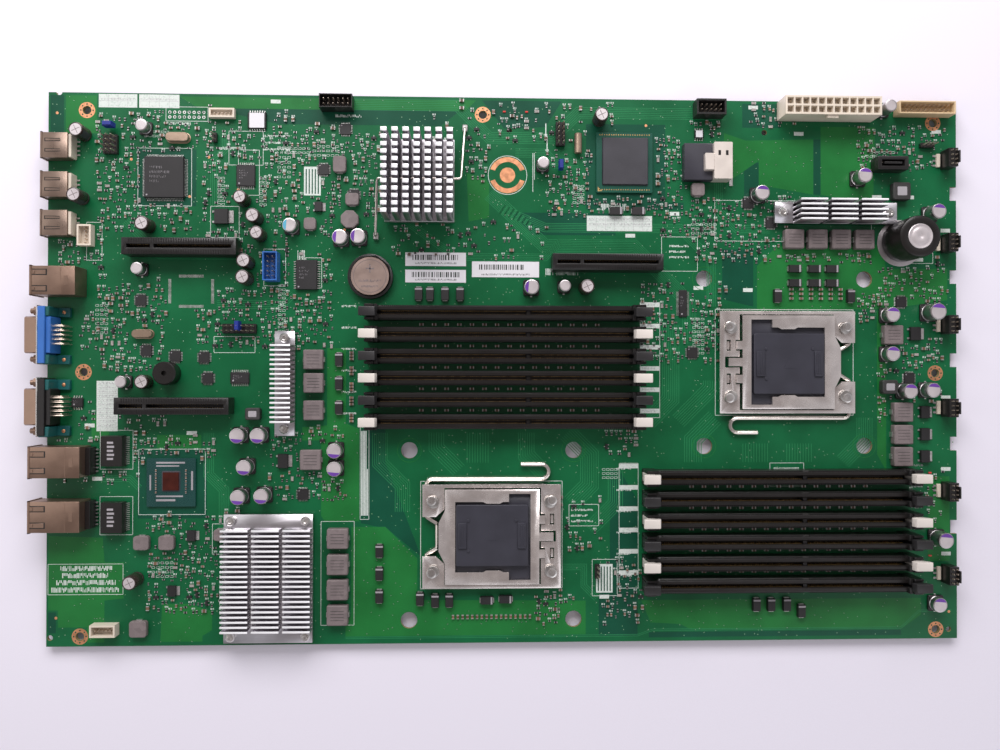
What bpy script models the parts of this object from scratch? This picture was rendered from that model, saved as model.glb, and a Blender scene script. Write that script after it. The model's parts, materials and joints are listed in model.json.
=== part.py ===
"""Two-socket server motherboard: the bare board and every connector, socket, heatsink and latch on it.

Sizes below are in millimetres and MM turns them into metres.  +X runs along the board's long side,
away from the port edge, +Y along its short side, away from the edge with the large finned heatsink,
and +Z up from the solder side.  The origin is the middle of the board's underside.
Places on the board are measured from its lower left corner, on a layout sheet of LAYOUT_LENGTH by
LAYOUT_WIDTH, and they spread with the board when its length or width changes.
"""

import math

import bmesh
import bpy
from mathutils import Matrix, Vector

MM = 0.001
SEAT_GAP = 0.3  # left between a piece and the one that it sits on

# ---- board -------------------------------------------------------------------------------------
LAYOUT_LENGTH = 487.0
LAYOUT_WIDTH = 291.5
BOARD_LENGTH = 487.0
BOARD_WIDTH = 291.5
BOARD_THICKNESS = 2.0
EDGE_NOTCH_DEPTH = 3.6
EDGE_NOTCH_LENGTH = 7.4
EDGE_NOTCH_PLACES = (60.5, 105.8, 151.3, 196.7, 242.1)
TOP_NOTCH_RADIUS = 1.6
TOP_NOTCH_PLACE = 5.5
STANDOFF_HOLE_RADIUS = 2.1
STANDOFF_HOLES = (
    (19.9, 282.2), (228.5, 282.3), (474.1, 280.6), (18.7, 144.1), (475.2, 144.2), (17.4, 5.2), (475.2, 4.9),
)
COOLER_HOLE_RADIUS = 4.4
COOLER_SPACING_X = 87.8
COOLER_SPACING_Y = 90.4
TOOLING_HOLE_RADIUS = 1.5
TOOLING_HOLES = ((242.7, 273.9), (381.0, 274.4), (2.0, 4.6), (482.3, 4.9))

# ---- memory slots ------------------------------------------------------------------------------
SLOTS_PER_BANK = 6
SLOT_PITCH = 11.43
MODULE_LENGTH = 133.35
MODULE_CLEARANCE = 0.25  # at each end of the module
SLOT_WIDTH = 7.6
SLOT_HEIGHT = 10.4
GROOVE_WIDTH = 1.7
GROOVE_DEPTH = 7.0
KEY_OFFSET = 12.0  # from the slot's middle to the bridge that fits the module's notch
KEY_WIDTH = 2.2
KEY_DROP = 1.6  # from the housing's top to the bridge's
BANK_WEB_HEIGHT = 1.2
TOWER_HEIGHT = 14.0
TOWER_WIDTH = 8.2
TOWER_END_WALL = 1.8
TOWER_REACH = 7.0  # how far a tower's side walls stand past the module's end
BANK_A_PLACE = (240.5, 146.9)
BANK_B_PLACE = (387.6, 60.1)
LATCH_WIDTH = 4.7
LATCH_SIDE_CLEARANCE = 0.25
LATCH_ARM = 4.5  # thickness of the arm, and so twice its round foot's radius
LATCH_FOOT_CLEARANCE = 0.35
LATCH_PIVOT_HEIGHT = 3.4
LATCH_HEIGHT = 19.0
LATCH_HEAD = 4.3  # height of the head that overhangs both ways
LATCH_HOOK = 2.6  # how far the head's nose leans over the module's end
LATCH_THUMB = 2.2  # how far the thumb rest stands out past the arm

# ---- processor sockets, each drawn with its plate hinge at +X ------------------------------------
SOCKET_A_PLACE = (233.5, 57.5)
SOCKET_B_PLACE = (392.0, 149.9)
FRAME_LENGTH = 73.2
FRAME_WIDTH = 54.8
FRAME_SHEET = 1.5
FRAME_HEIGHT = 3.4  # from the board to the sheet's underside
RAIL_WIDTH = 1.8
RAIL_FOOT = 0.5
WING_LEFT = 11.6  # from the frame's left edge to the wing's inner edge
WING_RIGHT = 10.6  # from the frame's right edge to the opening for the plate's hooks
POST_SPACING_X = 61.8
POST_SPACING_Y = 36.4
POST_RADIUS = 2.0
POST_CLEARANCE = 0.5
SCREW_HEAD_RADIUS = 3.1
SCREW_HEAD_HEIGHT = 1.6
BACKPLATE_SHEET = 1.8
BACKPLATE_MARGIN = 5.5  # past the posts
BACKPLATE_WINDOW = (38.0, 22.0)
SOCKET_BODY = (44.0, 46.0)
SOCKET_BODY_HEIGHT = 4.3
CONTACT_FIELD = (35.0, 29.0)
CONTACT_FIELD_DEPTH = 2.2
CONTACT_FLOOR = SOCKET_BODY_HEIGHT - CONTACT_FIELD_DEPTH
PLATE_SHEET = 1.6
PLATE_OVER_FRAME = 0.4
PLATE_LEFT = -24.7
PLATE_RIGHT = 25.0
PLATE_WIDTH = 50.0
PLATE_BULGE = 3.3
PLATE_FLANGE_DROP = 2.1
PLATE_FLANGE = 1.2
WINDOW_LEFT = -19.3
WINDOW_RIGHT = 20.4
WINDOW_WIDTH = 37.0
WINDOW_NOTCH_FROM = 9.0
WINDOW_NOTCH_WIDTH = 45.4
WINDOW_TAB = (-3.0, 4.3)
WINDOW_TAB_DEPTH = 0.9
WINDOW_TAB_SLOPE = 1.6
HINGE_STRIP = 2.6
HINGE_STRIP_PLACE = 29.5
HOOK_INNER_RADIUS = 1.9
HOOK_WALL = 1.3
HOOK_WIDTH = 4.4
HOOK_SPACING = 18.0
HOOK_CLEARANCE = 0.35
TONGUE_WIDTH = 4.4
TONGUE_REACH = 3.0  # past the hinge strip's middle
LIP_WIDTH = 9.0
LEVER_WIRE = 2.4
LEVER_CENTRE_HEIGHT = 1.75
LEVER_PIVOT_PLACE = -34.6
LEVER_ARM_OFFSET = 2.6  # from the frame's side edge to the wire's middle
LEVER_ARM_END = 30.4
HANDLE_RADIUS = 3.9
HANDLE_TAIL = 11.0
HANDLE_SLACK = 0.01  # what keeps the handle's two arcs from meeting in one point
LEVER_BEND_STEPS = 4
LEVER_FOOT = -20.0
CRANK_THROW = 5.7
CRANK_HALF = 6.4
CRANK_SLOPE = 3.6
LEVER_BEND = 1.5
CAP = (38.0, 32.2)
CAP_PLACE = (0.1, 0.9)
CAP_HEIGHT = 3.6
CAP_GRIP = (3.4, 9.6)
CAP_GRIP_HEIGHT = 0.9
CAP_GRIP_ROOT = 1.0  # how deep a grip is sunk into the lid
PLATE_OPENS = 105.0

# ---- coin cell -----------------------------------------------------------------------------------
CELL_PLACE = (169.1, 194.9)
CELL_RADIUS = 10.0
CELL_HEIGHT = 3.2
CELL_CLEARANCE = 0.35
HOLDER_WALL = 1.6
HOLDER_FLOOR = 1.4
HOLDER_RIM = 2.2
CELL_BANK_GAP = 1.2  # least gap between the holder and the memory slots

# ---- card slots ------------------------------------------------------------------------------------
CARD_SLOT_PLACES = ((71.7, 209.1), (68.2, 126.5), (294.3, 202.3))
CARD_SLOT_LENGTH = 58.4
CARD_SLOT_WIDTH = 8.7
CARD_SLOT_HEIGHT = 11.0
CARD_GROOVE = (1.9, 8.4)
CARD_SHORT_GROOVE = 12.0
CARD_LONG_GROOVE = 39.4
CARD_KEY = 1.9

# ---- power, ribbon, disk connectors ------------------------------------------------------------------
POWER_PLACE = (413.7, 285.6)
POWER_WAYS = 12
POWER_PITCH = 4.2
POWER_SIDE_WALL = 0.6
POWER_WIDTH = 9.9
POWER_HEIGHT = 12.8
POWER_POCKET = 3.4
POWER_POCKET_DEPTH = 9.6
POWER_LATCH = (6.0, 1.5, 3.0)
RIBBON_PLACE = (467.4, 287.0)
RIBBON_BODY = (31.0, 7.0, 7.0)
RIBBON_WALL = 0.9
RIBBON_DEPTH = 4.6
DISK_PLACE = (447.8, 256.6)
DISK_BODY = (16.6, 7.2, 8.6)
DISK_MOUTH = (12.4, 3.4)
DISK_BLADE = (9.6, 1.2)
DISK_DEPTH = 6.0
WIDE_DISK_PLACE = (344.0, 256.9)
WIDE_DISK_BODY = (16.0, 19.4, 5.6)
WIDE_DISK_CAGE = (9.6, 17.6, 8.6)
WIDE_DISK_BLOCK = (5.4, 9.8, 6.8)

# ---- ports along the left edge -----------------------------------------------------------------------
USB_PLACES = (261.7, 241.4, 221.4)
USB_BODY = (13.3, 13.2, 7.0)
USB_SHELL = 0.45
USB_BACK = 1.6
USB_TONGUE = (10.8, 1.8)
USB_TONGUE_SET_BACK = 1.4
LAN_PLACES = (97.8, 70.0)
LAN_BODY = (25.3, 15.9, 13.4)
LAN_OVERHANG = 2.3
SERVICE_PLACE = 190.8
SERVICE_BODY = (22.2, 14.8, 13.4)
SERVICE_OVERHANG = 1.8
PLUG_MOUTH = (11.9, 7.6)
PLUG_KEY = (6.2, 1.8)
PLUG_FLOOR = 2.0
PLUG_DEPTH = 13.0
VIDEO_PLACE = 163.1
SERIAL_PLACE = 126.1
DSUB_WIDTH = 30.6
DSUB_HEIGHT = 12.5
DSUB_FLANGE = 0.9
DSUB_BODY_DEPTH = 7.2
DSUB_FOOT = (11.9, 6.2, 5.4)
DSUB_SHELL = (16.4, 8.3)
DSUB_SHELL_REACH = 6.0
DSUB_SHELL_WALL = 0.8
DSUB_SLANT = math.radians(10)
DSUB_AXIS_HEIGHT = 6.3
DSUB_SCREW_SPACING = 25.0
DSUB_SCREW_RADIUS = 2.7
DSUB_SCREW_REACH = 5.0
VIDEO_RECESS = 0.8
SERIAL_RECESS = 5.4

# ---- heatsinks -------------------------------------------------------------------------------------
PIN_SINK_PLACE = (195.1, 245.0)
PIN_SINK = (36.6, 43.2, 30.0)
PIN_SINK_BASE = 4.0
PIN_ROOT = 0.5  # how deep a pin is sunk into the base
PIN_SINK_SEAT = 2.6  # height of the chip it stands on
PINS = (7, 12)
PIN_SHARE = 0.56
SIDE_SINK_PLACE = (124.5, 138.2)
SIDE_SINK = (10.4, 55.0, 15.0)
SIDE_SINK_FINS = 17
SIDE_SINK_FIN_RUN = 40.4
LARGE_SINK_PLACE = (116.2, 35.8)
LARGE_SINK = (46.2, 67.4, 11.0)
LARGE_SINK_FINS = 21
LARGE_SINK_FIN_RUN = 53.2
REGULATOR_SINK_PLACE = (418.7, 230.4)
REGULATOR_SINK = (66.8, 11.4, 15.0)
REGULATOR_SINK_FINS = 5
REGULATOR_SINK_FIN_RUN = 46.6
SINK_BASE = 2.6
SINK_FIN = 0.95
SINK_COLUMN_GAP = 1.9
SINK_SEAT = 1.2  # height of the power transistors under the low heatsinks

TOP = BOARD_THICKNESS
SEAT = TOP + SEAT_GAP
PLUG_SIDES = 16
HOLE_SIDES = 20
ROUND_SIDES = 32


def place(x, y):
    """A place on the layout sheet, as board coordinates about the board's middle."""
    return (x / LAYOUT_LENGTH - 0.5) * BOARD_LENGTH, (y / LAYOUT_WIDTH - 0.5) * BOARD_WIDTH


def left_edge():
    return -BOARD_LENGTH / 2


# ---- outlines --------------------------------------------------------------------------------------
def rectangle(x_low, x_high, y_low, y_high):
    return [(x_low, y_low), (x_high, y_low), (x_high, y_high), (x_low, y_high)]


def centred(length, width, x=0.0, y=0.0):
    return rectangle(x - length / 2, x + length / 2, y - width / 2, y + width / 2)


def circle(x, y, radius, sides=HOLE_SIDES):
    turns = [2 * math.pi * (step + 0.5) / sides for step in range(sides)]
    return [(x + radius * math.cos(turn), y + radius * math.sin(turn)) for turn in turns]


def arc(x, y, radius, start, end, steps):
    """Points on a circle from one angle in degrees to another."""
    turns = [math.radians(start + (end - start) * step / steps) for step in range(steps + 1)]
    return [(x + radius * math.cos(turn), y + radius * math.sin(turn)) for turn in turns]


def bent(points, bends, steps):
    """An open path with each inner corner turned into an arc, whose radius is the next one of bends."""
    path = [points[0]]
    for bend, before, corner, after in zip(bends, points, points[1:], points[2:]):
        corner = Vector(corner)
        back = (Vector(before) - corner).normalized()
        ahead = (Vector(after) - corner).normalized()
        half = back.angle(ahead) / 2
        centre = corner + (back + ahead).normalized() * bend / math.sin(half)
        start = corner + back * bend / math.tan(half) - centre
        end = corner + ahead * bend / math.tan(half) - centre
        swing = math.atan2(start.cross(end), start.dot(end))
        turns = [Matrix.Rotation(swing * step / steps, 2) for step in range(steps + 1)]
        path += [tuple(centre + turn @ start) for turn in turns]
    return path + [points[-1]]


# ---- solids ----------------------------------------------------------------------------------------
PLANES = {
    "X": lambda u, v, height: (height, u, v),
    "Y": lambda u, v, height: (u, height, v),
    "Z": lambda u, v, height: (u, v, height),
}


def prism(loops, low, high, along="Z"):
    """A flat outline, with any holes as further loops, carried from low to high along one axis.

    Along Z the outline's two numbers are x and y, along X they are y and z, along Y x and z.
    """
    shape = bmesh.new()
    for loop in loops:
        ring = [shape.verts.new(PLANES[along](u, v, low)) for u, v in loop]
        for here, after in zip(ring, [*ring[1:], ring[0]]):
            shape.edges.new((here, after))
    bmesh.ops.triangle_fill(shape, use_beauty=True, edges=shape.edges[:])
    raised = bmesh.ops.extrude_face_region(shape, geom=shape.faces[:])["geom"]
    step = PLANES[along](0, 0, high - low)
    corners = [part for part in raised if isinstance(part, bmesh.types.BMVert)]
    bmesh.ops.translate(shape, vec=step, verts=corners)
    bmesh.ops.recalc_face_normals(shape, faces=shape.faces)
    mesh = bpy.data.meshes.new("solid")
    shape.to_mesh(mesh)
    shape.free()
    return mesh


def box(length, width, height, x=0.0, y=0.0, z=0.0):
    """A block on height z, centred on x and y."""
    return prism([centred(length, width, x, y)], z, z + height)


def combined(operation, body, tools):
    """The body after one exact Boolean with each tool in turn."""
    for tool in tools:
        holder = bpy.data.objects.new("holder", body)
        cutter = bpy.data.objects.new("cutter", tool)
        bpy.context.scene.collection.objects.link(holder)
        bpy.context.scene.collection.objects.link(cutter)
        step = holder.modifiers.new("step", "BOOLEAN")
        step.operation = operation
        step.object = cutter
        graph = bpy.context.evaluated_depsgraph_get()
        body = bpy.data.meshes.new_from_object(holder.evaluated_get(graph))
        bpy.data.objects.remove(holder)
        bpy.data.objects.remove(cutter)
    return body


def joined(body, *tools):
    return combined("UNION", body, tools)


def carved(body, *tools):
    return combined("DIFFERENCE", body, tools)


def moved(mesh, x=0.0, y=0.0, z=0.0, turn=0.0):
    """The mesh turned about Z by an angle in degrees, and then moved."""
    mesh.transform(Matrix.Translation((x, y, z)) @ Matrix.Rotation(math.radians(turn), 4, "Z"))
    return mesh


# ---- materials and placing -------------------------------------------------------------------------
FINISHES = {
    "solder_mask": ((0.02, 0.18, 0.07, 1), 0.4, 0.0),
    "black_plastic": ((0.012, 0.011, 0.011, 1), 0.5, 0.0),
    "white_plastic": ((0.82, 0.78, 0.76, 1), 0.45, 0.0),
    "slate_plastic": ((0.045, 0.045, 0.06, 1), 0.55, 0.0),
    "blue_plastic": ((0.06, 0.2, 0.62, 1), 0.4, 0.0),
    "tan_plastic": ((0.62, 0.42, 0.2, 1), 0.5, 0.0),
    "nickel_sheet": ((0.36, 0.28, 0.25, 1), 0.35, 1.0),
    "bright_steel": ((0.72, 0.68, 0.66, 1), 0.3, 1.0),
    "tinned_shell": ((0.5, 0.42, 0.36, 1), 0.35, 1.0),
    "aluminium": ((0.75, 0.74, 0.75, 1), 0.4, 1.0),
}


def finish(name):
    made = bpy.data.materials.get(name)
    if made is None:
        colour, roughness, metallic = FINISHES[name]
        made = bpy.data.materials.new(name)
        made.use_nodes = True
        shader = made.node_tree.nodes["Principled BSDF"]
        shader.inputs["Base Color"].default_value = colour
        shader.inputs["Roughness"].default_value = roughness
        shader.inputs["Metallic"].default_value = metallic
        made.diffuse_color = colour
    return made


def in_metres(mesh, surface):
    """The mesh scaled to metres, with its material and with round walls shaded smooth."""
    mesh.transform(Matrix.Scale(MM, 4))
    mesh.materials.clear()
    mesh.materials.append(finish(surface))
    mesh.shade_smooth()
    mesh.set_sharp_from_angle(angle=math.radians(35))
    return mesh


def put(name, mesh, x=0.0, y=0.0, z=0.0, turn=0.0, parent=None):
    """A named node with its own origin at x, y and z, which is its joint's axis if it moves."""
    node = bpy.data.objects.new(name, mesh)
    bpy.context.scene.collection.objects.link(node)
    node.parent = parent
    node.location = (x * MM, y * MM, z * MM)
    node.rotation_euler = (0, 0, math.radians(turn))
    return node


# ---- board -----------------------------------------------------------------------------------------
def post_places():
    return [(x * POST_SPACING_X / 2, y * POST_SPACING_Y / 2) for x in (-1, 1) for y in (-1, 1)]


def make_board():
    right = BOARD_LENGTH / 2
    top = BOARD_WIDTH / 2
    outline = [(-right, -top), (right, -top)]
    for y in EDGE_NOTCH_PLACES:
        middle = place(0, y)[1]
        low, high = middle - EDGE_NOTCH_LENGTH / 2, middle + EDGE_NOTCH_LENGTH / 2
        inner = right - EDGE_NOTCH_DEPTH
        outline += [(right, low), (inner, low), (inner, high), (right, high)]
    outline += [(right, top)]
    outline += arc(left_edge() + TOP_NOTCH_PLACE, top, TOP_NOTCH_RADIUS, 0, -180, 6)
    outline += [(-right, top)]
    holes = [circle(*place(*spot), STANDOFF_HOLE_RADIUS) for spot in STANDOFF_HOLES]
    holes += [circle(*place(*spot), TOOLING_HOLE_RADIUS, PLUG_SIDES) for spot in TOOLING_HOLES]
    for spot in (SOCKET_A_PLACE, SOCKET_B_PLACE):
        x, y = place(*spot)
        corners = [(u * COOLER_SPACING_X / 2, v * COOLER_SPACING_Y / 2) for u in (-1, 1) for v in (-1, 1)]
        holes += [circle(x + u, y + v, COOLER_HOLE_RADIUS) for u, v in corners]
        holes += [circle(x + u, y + v, POST_RADIUS + POST_CLEARANCE, PLUG_SIDES) for u, v in post_places()]
    put("pcb", in_metres(prism([outline, *holes], 0, BOARD_THICKNESS), "solder_mask"))


# ---- memory banks and latches -----------------------------------------------------------------------
def module_end():
    """From a slot's middle to the end of the room for the module."""
    return MODULE_LENGTH / 2 + MODULE_CLEARANCE


def pivot_distance():
    """From a slot's middle to a latch's pivot."""
    return module_end() + TOWER_END_WALL + LATCH_FOOT_CLEARANCE + LATCH_ARM / 2


def slot_rows():
    """The slots' middles across a bank."""
    return [(number - (SLOTS_PER_BANK - 1) / 2) * SLOT_PITCH for number in range(SLOTS_PER_BANK)]


def bank_mesh(key_offset):
    """Six slot housings on one thin web, each with a groove, a key and a forked tower at each end."""
    section = [(slot_rows()[0] - SLOT_WIDTH / 2, 0)]
    for row in slot_rows():
        low, high = row - SLOT_WIDTH / 2, row + SLOT_WIDTH / 2
        groove_low, groove_high = row - GROOVE_WIDTH / 2, row + GROOVE_WIDTH / 2
        floor = SLOT_HEIGHT - GROOVE_DEPTH
        if row != slot_rows()[0]:
            section += [(low, BANK_WEB_HEIGHT)]
        section += [(low, SLOT_HEIGHT), (groove_low, SLOT_HEIGHT), (groove_low, floor)]
        section += [(groove_high, floor), (groove_high, SLOT_HEIGHT), (high, SLOT_HEIGHT)]
        if row != slot_rows()[-1]:
            section += [(high, BANK_WEB_HEIGHT)]
    section += [(slot_rows()[-1] + SLOT_WIDTH / 2, 0)]
    overlap = TOWER_END_WALL / 2
    bank = prism([section], -module_end() - overlap, module_end() + overlap, "X")
    half_slot = LATCH_WIDTH / 2 + LATCH_SIDE_CLEARANCE
    inner, wall, outer = module_end(), module_end() + TOWER_END_WALL, module_end() + TOWER_REACH
    pieces = []
    for row in slot_rows():
        fork = [(inner, -TOWER_WIDTH / 2), (outer, -TOWER_WIDTH / 2), (outer, -half_slot), (wall, -half_slot)]
        fork += [(x, -y) for x, y in reversed(fork)]
        for turn in (0, 180):
            pieces.append(moved(prism([fork], 0, TOWER_HEIGHT), y=row, turn=turn))
        key_height = SLOT_HEIGHT - KEY_DROP
        pieces.append(box(KEY_WIDTH, GROOVE_WIDTH * 1.5, key_height, key_offset, row))
    return joined(bank, *pieces)


def latch_mesh():
    """One latch, drawn about its pivot with the slot at -X: round foot, arm, nose and thumb rest."""
    arm = LATCH_ARM / 2
    top = LATCH_HEIGHT - LATCH_PIVOT_HEIGHT
    head = top - LATCH_HEAD
    profile = arc(0, 0, arm, 180, 360, 8)
    profile += [(arm, head), (arm + LATCH_THUMB, head + LATCH_THUMB), (arm + LATCH_THUMB, top)]
    hook = arm + LATCH_HOOK
    profile += [(0.3 * LATCH_HOOK - hook, top), (-hook, head + LATCH_HEAD / 3), (-hook, head)]
    profile += [(-arm, head)]
    return prism([profile], -LATCH_WIDTH / 2, LATCH_WIDTH / 2, "Y")


def make_bank(letter, spot, key_offset):
    x, y = place(*spot)
    put(f"dimm_bank_{letter}", in_metres(bank_mesh(key_offset), "black_plastic"), x, y, SEAT)
    latches = {shade: in_metres(latch_mesh(), f"{shade}_plastic") for shade in ("black", "white")}
    for number, row in enumerate(reversed(slot_rows()), 1):
        shade = "black" if number % 2 == (letter == "a") else "white"
        for side, turn in (("left", 180), ("right", 0)):
            reach = pivot_distance() * (1 if side == "right" else -1)
            name = f"dimm_latch_{letter}{number}_{side}"
            put(name, latches[shade], x + reach, y + row, TOP + LATCH_PIVOT_HEIGHT, turn)


# ---- processor sockets ------------------------------------------------------------------------------
def sheet_middle():
    return FRAME_HEIGHT + FRAME_SHEET / 2


def plate_height():
    """From the board to the load plate's underside."""
    return FRAME_HEIGHT + FRAME_SHEET + PLATE_OVER_FRAME


def hook_rows():
    return (-HOOK_SPACING / 2, HOOK_SPACING / 2)


def hook_reach():
    """How far the turning hooks and tongue need the sheet kept away from the hinge strip's middle."""
    return HOOK_INNER_RADIUS + HOOK_WALL + HOOK_CLEARANCE


def frame_mesh():
    """Stamped frame: two wings joined by side rails, slotted at +X round the strip the hooks turn on."""
    half, side = FRAME_LENGTH / 2, FRAME_WIDTH / 2
    left, right = WING_LEFT - half, half - WING_RIGHT
    inner = side - RAIL_WIDTH
    crank = CRANK_HALF + CRANK_SLOPE + 0.4
    outline = [(-half, -side), (half, -side), (half, side), (-half, side), (-half, crank)]
    opening = [(left - 4.5, crank), (left, crank + 4.0), (left, inner), (right, inner)]
    opening += [(x, -y) for x, y in reversed(opening)]
    outline += opening + [(-half, -crank)]
    holes = [circle(x, y, POST_RADIUS + POST_CLEARANCE, PLUG_SIDES) for x, y in post_places()]
    sheet = prism([outline, *holes], FRAME_HEIGHT, FRAME_HEIGHT + FRAME_SHEET)
    reach, strip = hook_reach(), HINGE_STRIP / 2
    cuts = []
    for row in hook_rows():
        low, high = row - HOOK_WIDTH / 2 - HOOK_CLEARANCE * 2, row + HOOK_WIDTH / 2 + HOOK_CLEARANCE * 2
        for start, end in ((-reach - 0.5, -strip), (strip, reach)):
            hole = rectangle(HINGE_STRIP_PLACE + start, HINGE_STRIP_PLACE + end, low, high)
            cuts.append(prism([hole], 0, 2 * plate_height()))
    tongue = math.hypot(TONGUE_REACH, plate_height() + PLATE_SHEET - sheet_middle()) + HOOK_CLEARANCE
    gap = centred(2 * tongue, TONGUE_WIDTH + 4 * HOOK_CLEARANCE, HINGE_STRIP_PLACE)
    cuts.append(prism([gap], 0, 2 * plate_height()))
    rails = []
    for way in (-1, 1):
        rail = sorted((way * (side - RAIL_WIDTH * 0.7), way * (side - 0.05)))
        span = rectangle(left + 1.0, right + 2.0, *rail)
        rails.append(prism([span], RAIL_FOOT, FRAME_HEIGHT + FRAME_SHEET / 2))
    return joined(carved(sheet, *cuts), *rails)


def window_outline():
    half, notch = WINDOW_WIDTH / 2, WINDOW_NOTCH_WIDTH / 2
    tab_left, tab_right = WINDOW_TAB
    tab = half - WINDOW_TAB_DEPTH
    upper = [(WINDOW_RIGHT, notch), (WINDOW_NOTCH_FROM, notch), (WINDOW_NOTCH_FROM, half)]
    upper += [(tab_right + WINDOW_TAB_SLOPE, half), (tab_right, tab), (tab_left, tab)]
    upper += [(tab_left - WINDOW_TAB_SLOPE, half), (WINDOW_LEFT, half)]
    return upper + [(x, -y) for x, y in reversed(upper)]


def plate_mesh():
    """Load plate drawn about its hinge axis: a windowed sheet, side flanges, two hooks, tongue and lip."""
    low = plate_height() - sheet_middle()
    shift = -HINGE_STRIP_PLACE
    side = PLATE_WIDTH / 2
    bulge = [(PLATE_LEFT, side), (PLATE_LEFT, 14.0), (PLATE_LEFT - PLATE_BULGE, 7.5)]
    outline = [(PLATE_RIGHT, -side), (PLATE_RIGHT, side), *bulge, *[(x, -y) for x, y in reversed(bulge)]]
    sheet = prism([outline, window_outline()], low, low + PLATE_SHEET)
    adds = []
    for way in (-1, 1):
        flange = sorted((way * (side - PLATE_FLANGE), way * (side - 0.05)))
        span = rectangle(PLATE_LEFT + 1.5, WINDOW_NOTCH_FROM - 1.0, *flange)
        adds.append(prism([span], low - PLATE_FLANGE_DROP, low + PLATE_SHEET / 2))
    lip = centred(1.4, LIP_WIDTH, PLATE_LEFT - 0.9)
    adds.append(prism([lip], low - 3.4, low + PLATE_SHEET / 2))
    tongue = rectangle(PLATE_RIGHT - 2.0, HINGE_STRIP_PLACE + TONGUE_REACH, -TONGUE_WIDTH / 2, TONGUE_WIDTH / 2)
    adds.append(prism([tongue], low + 0.01, low + PLATE_SHEET - 0.01))
    body = moved(joined(sheet, *adds), x=shift)
    outer = HOOK_INNER_RADIUS + HOOK_WALL
    curl = arc(0, 0, outer, 140, 355, 12) + arc(0, 0, HOOK_INNER_RADIUS, 355, 140, 12)
    arm = rectangle(PLATE_RIGHT - 2.0 + shift, -1.5, low + 0.01, low + PLATE_SHEET - 0.01)
    hooks = []
    for row in hook_rows():
        ends = row - HOOK_WIDTH / 2, row + HOOK_WIDTH / 2
        hooks.append(prism([arm], *ends, "Y"))
        hooks.append(prism([curl], ends[0] + 0.02, ends[1] - 0.02, "Y"))
    return joined(body, *hooks)


def lever_curve():
    """Bent wire drawn about its pivot: handle, arm, pivot, crank over the plate's lip, and foot."""
    arm = FRAME_WIDTH / 2 + LEVER_ARM_OFFSET
    end = LEVER_ARM_END - LEVER_PIVOT_PLACE
    corners = [(end, arm + 2 * HANDLE_RADIUS), (end, arm), (0.0, arm)]
    corners += [(0.0, CRANK_HALF + CRANK_SLOPE), (CRANK_THROW, CRANK_HALF)]
    corners += [(CRANK_THROW, -CRANK_HALF), (0.0, -CRANK_HALF - CRANK_SLOPE)]
    handle_bend = HANDLE_RADIUS - HANDLE_SLACK
    bends = [handle_bend, handle_bend, 2 * LEVER_BEND] + [LEVER_BEND] * 4
    tail = (end - HANDLE_RADIUS - HANDLE_TAIL, arm + 2 * HANDLE_RADIUS)
    path = bent([tail, *corners, (0.0, LEVER_FOOT)], bends, LEVER_BEND_STEPS)
    curve = bpy.data.curves.new("lever", "CURVE")
    curve.dimensions = "3D"
    curve.bevel_depth = LEVER_WIRE / 2 * MM
    curve.bevel_resolution = 2
    curve.use_fill_caps = True
    wire = curve.splines.new("POLY")
    wire.points.add(len(path) - 1)
    for point, (x, y) in zip(wire.points, path):
        point.co = (x * MM, y * MM, 0, 1)
    curve.materials.append(finish("bright_steel"))
    return curve


def backplate_mesh():
    """Steel plate under the board with four posts up through it, each ending in a screw head."""
    half_x, half_y = POST_SPACING_X / 2 + BACKPLATE_MARGIN, POST_SPACING_Y / 2 + BACKPLATE_MARGIN
    low = -TOP - SEAT_GAP - BACKPLATE_SHEET
    sheet = prism([centred(2 * half_x, 2 * half_y), centred(*BACKPLATE_WINDOW)], low, low + BACKPLATE_SHEET)
    seat = FRAME_HEIGHT + FRAME_SHEET + SEAT_GAP
    posts = []
    for x, y in post_places():
        posts.append(prism([circle(x, y, POST_RADIUS, PLUG_SIDES)], low + BACKPLATE_SHEET / 2, seat + 0.5))
        head = circle(x, y, SCREW_HEAD_RADIUS, PLUG_SIDES)
        posts.append(prism([head], seat, seat + SCREW_HEAD_HEIGHT))
    return joined(sheet, *posts)


def cap_mesh():
    """Land cover: a flat lid with a raised finger grip at each end."""
    lid = box(*CAP, CAP_HEIGHT - CAP_GRIP_HEIGHT)
    reach = CAP[0] / 2 - CAP_GRIP[0] / 2 - 0.1
    grip_height = CAP_GRIP_HEIGHT + CAP_GRIP_ROOT
    grips = [box(*CAP_GRIP, grip_height, way * reach, 0, CAP_HEIGHT - grip_height) for way in (-1, 1)]
    return joined(lid, *grips)


def make_socket(letter, spot, turn):
    x, y = place(*spot)
    centre = put(f"socket_{letter}_centre", None, x, y, TOP, turn)
    body = carved(
        box(*SOCKET_BODY, SOCKET_BODY_HEIGHT, z=SEAT_GAP),
        box(*CONTACT_FIELD, SOCKET_BODY_HEIGHT, *CAP_PLACE, SEAT_GAP + CONTACT_FLOOR),
    )
    put(f"socket_body_{letter}", in_metres(body, "slate_plastic"), parent=centre)
    put(f"socket_frame_{letter}", in_metres(frame_mesh(), "nickel_sheet"), parent=centre)
    plate = in_metres(plate_mesh(), "nickel_sheet")
    put(f"load_plate_{letter}", plate, HINGE_STRIP_PLACE, 0, sheet_middle(), parent=centre)
    put(f"load_lever_{letter}", lever_curve(), LEVER_PIVOT_PLACE, 0, LEVER_CENTRE_HEIGHT, parent=centre)
    put(f"backplate_{letter}", in_metres(backplate_mesh(), "bright_steel"), parent=centre)
    lid = in_metres(cap_mesh(), "slate_plastic")
    put(f"land_cover_{letter}", lid, *CAP_PLACE, 2 * SEAT_GAP + SOCKET_BODY_HEIGHT, parent=centre)


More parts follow.
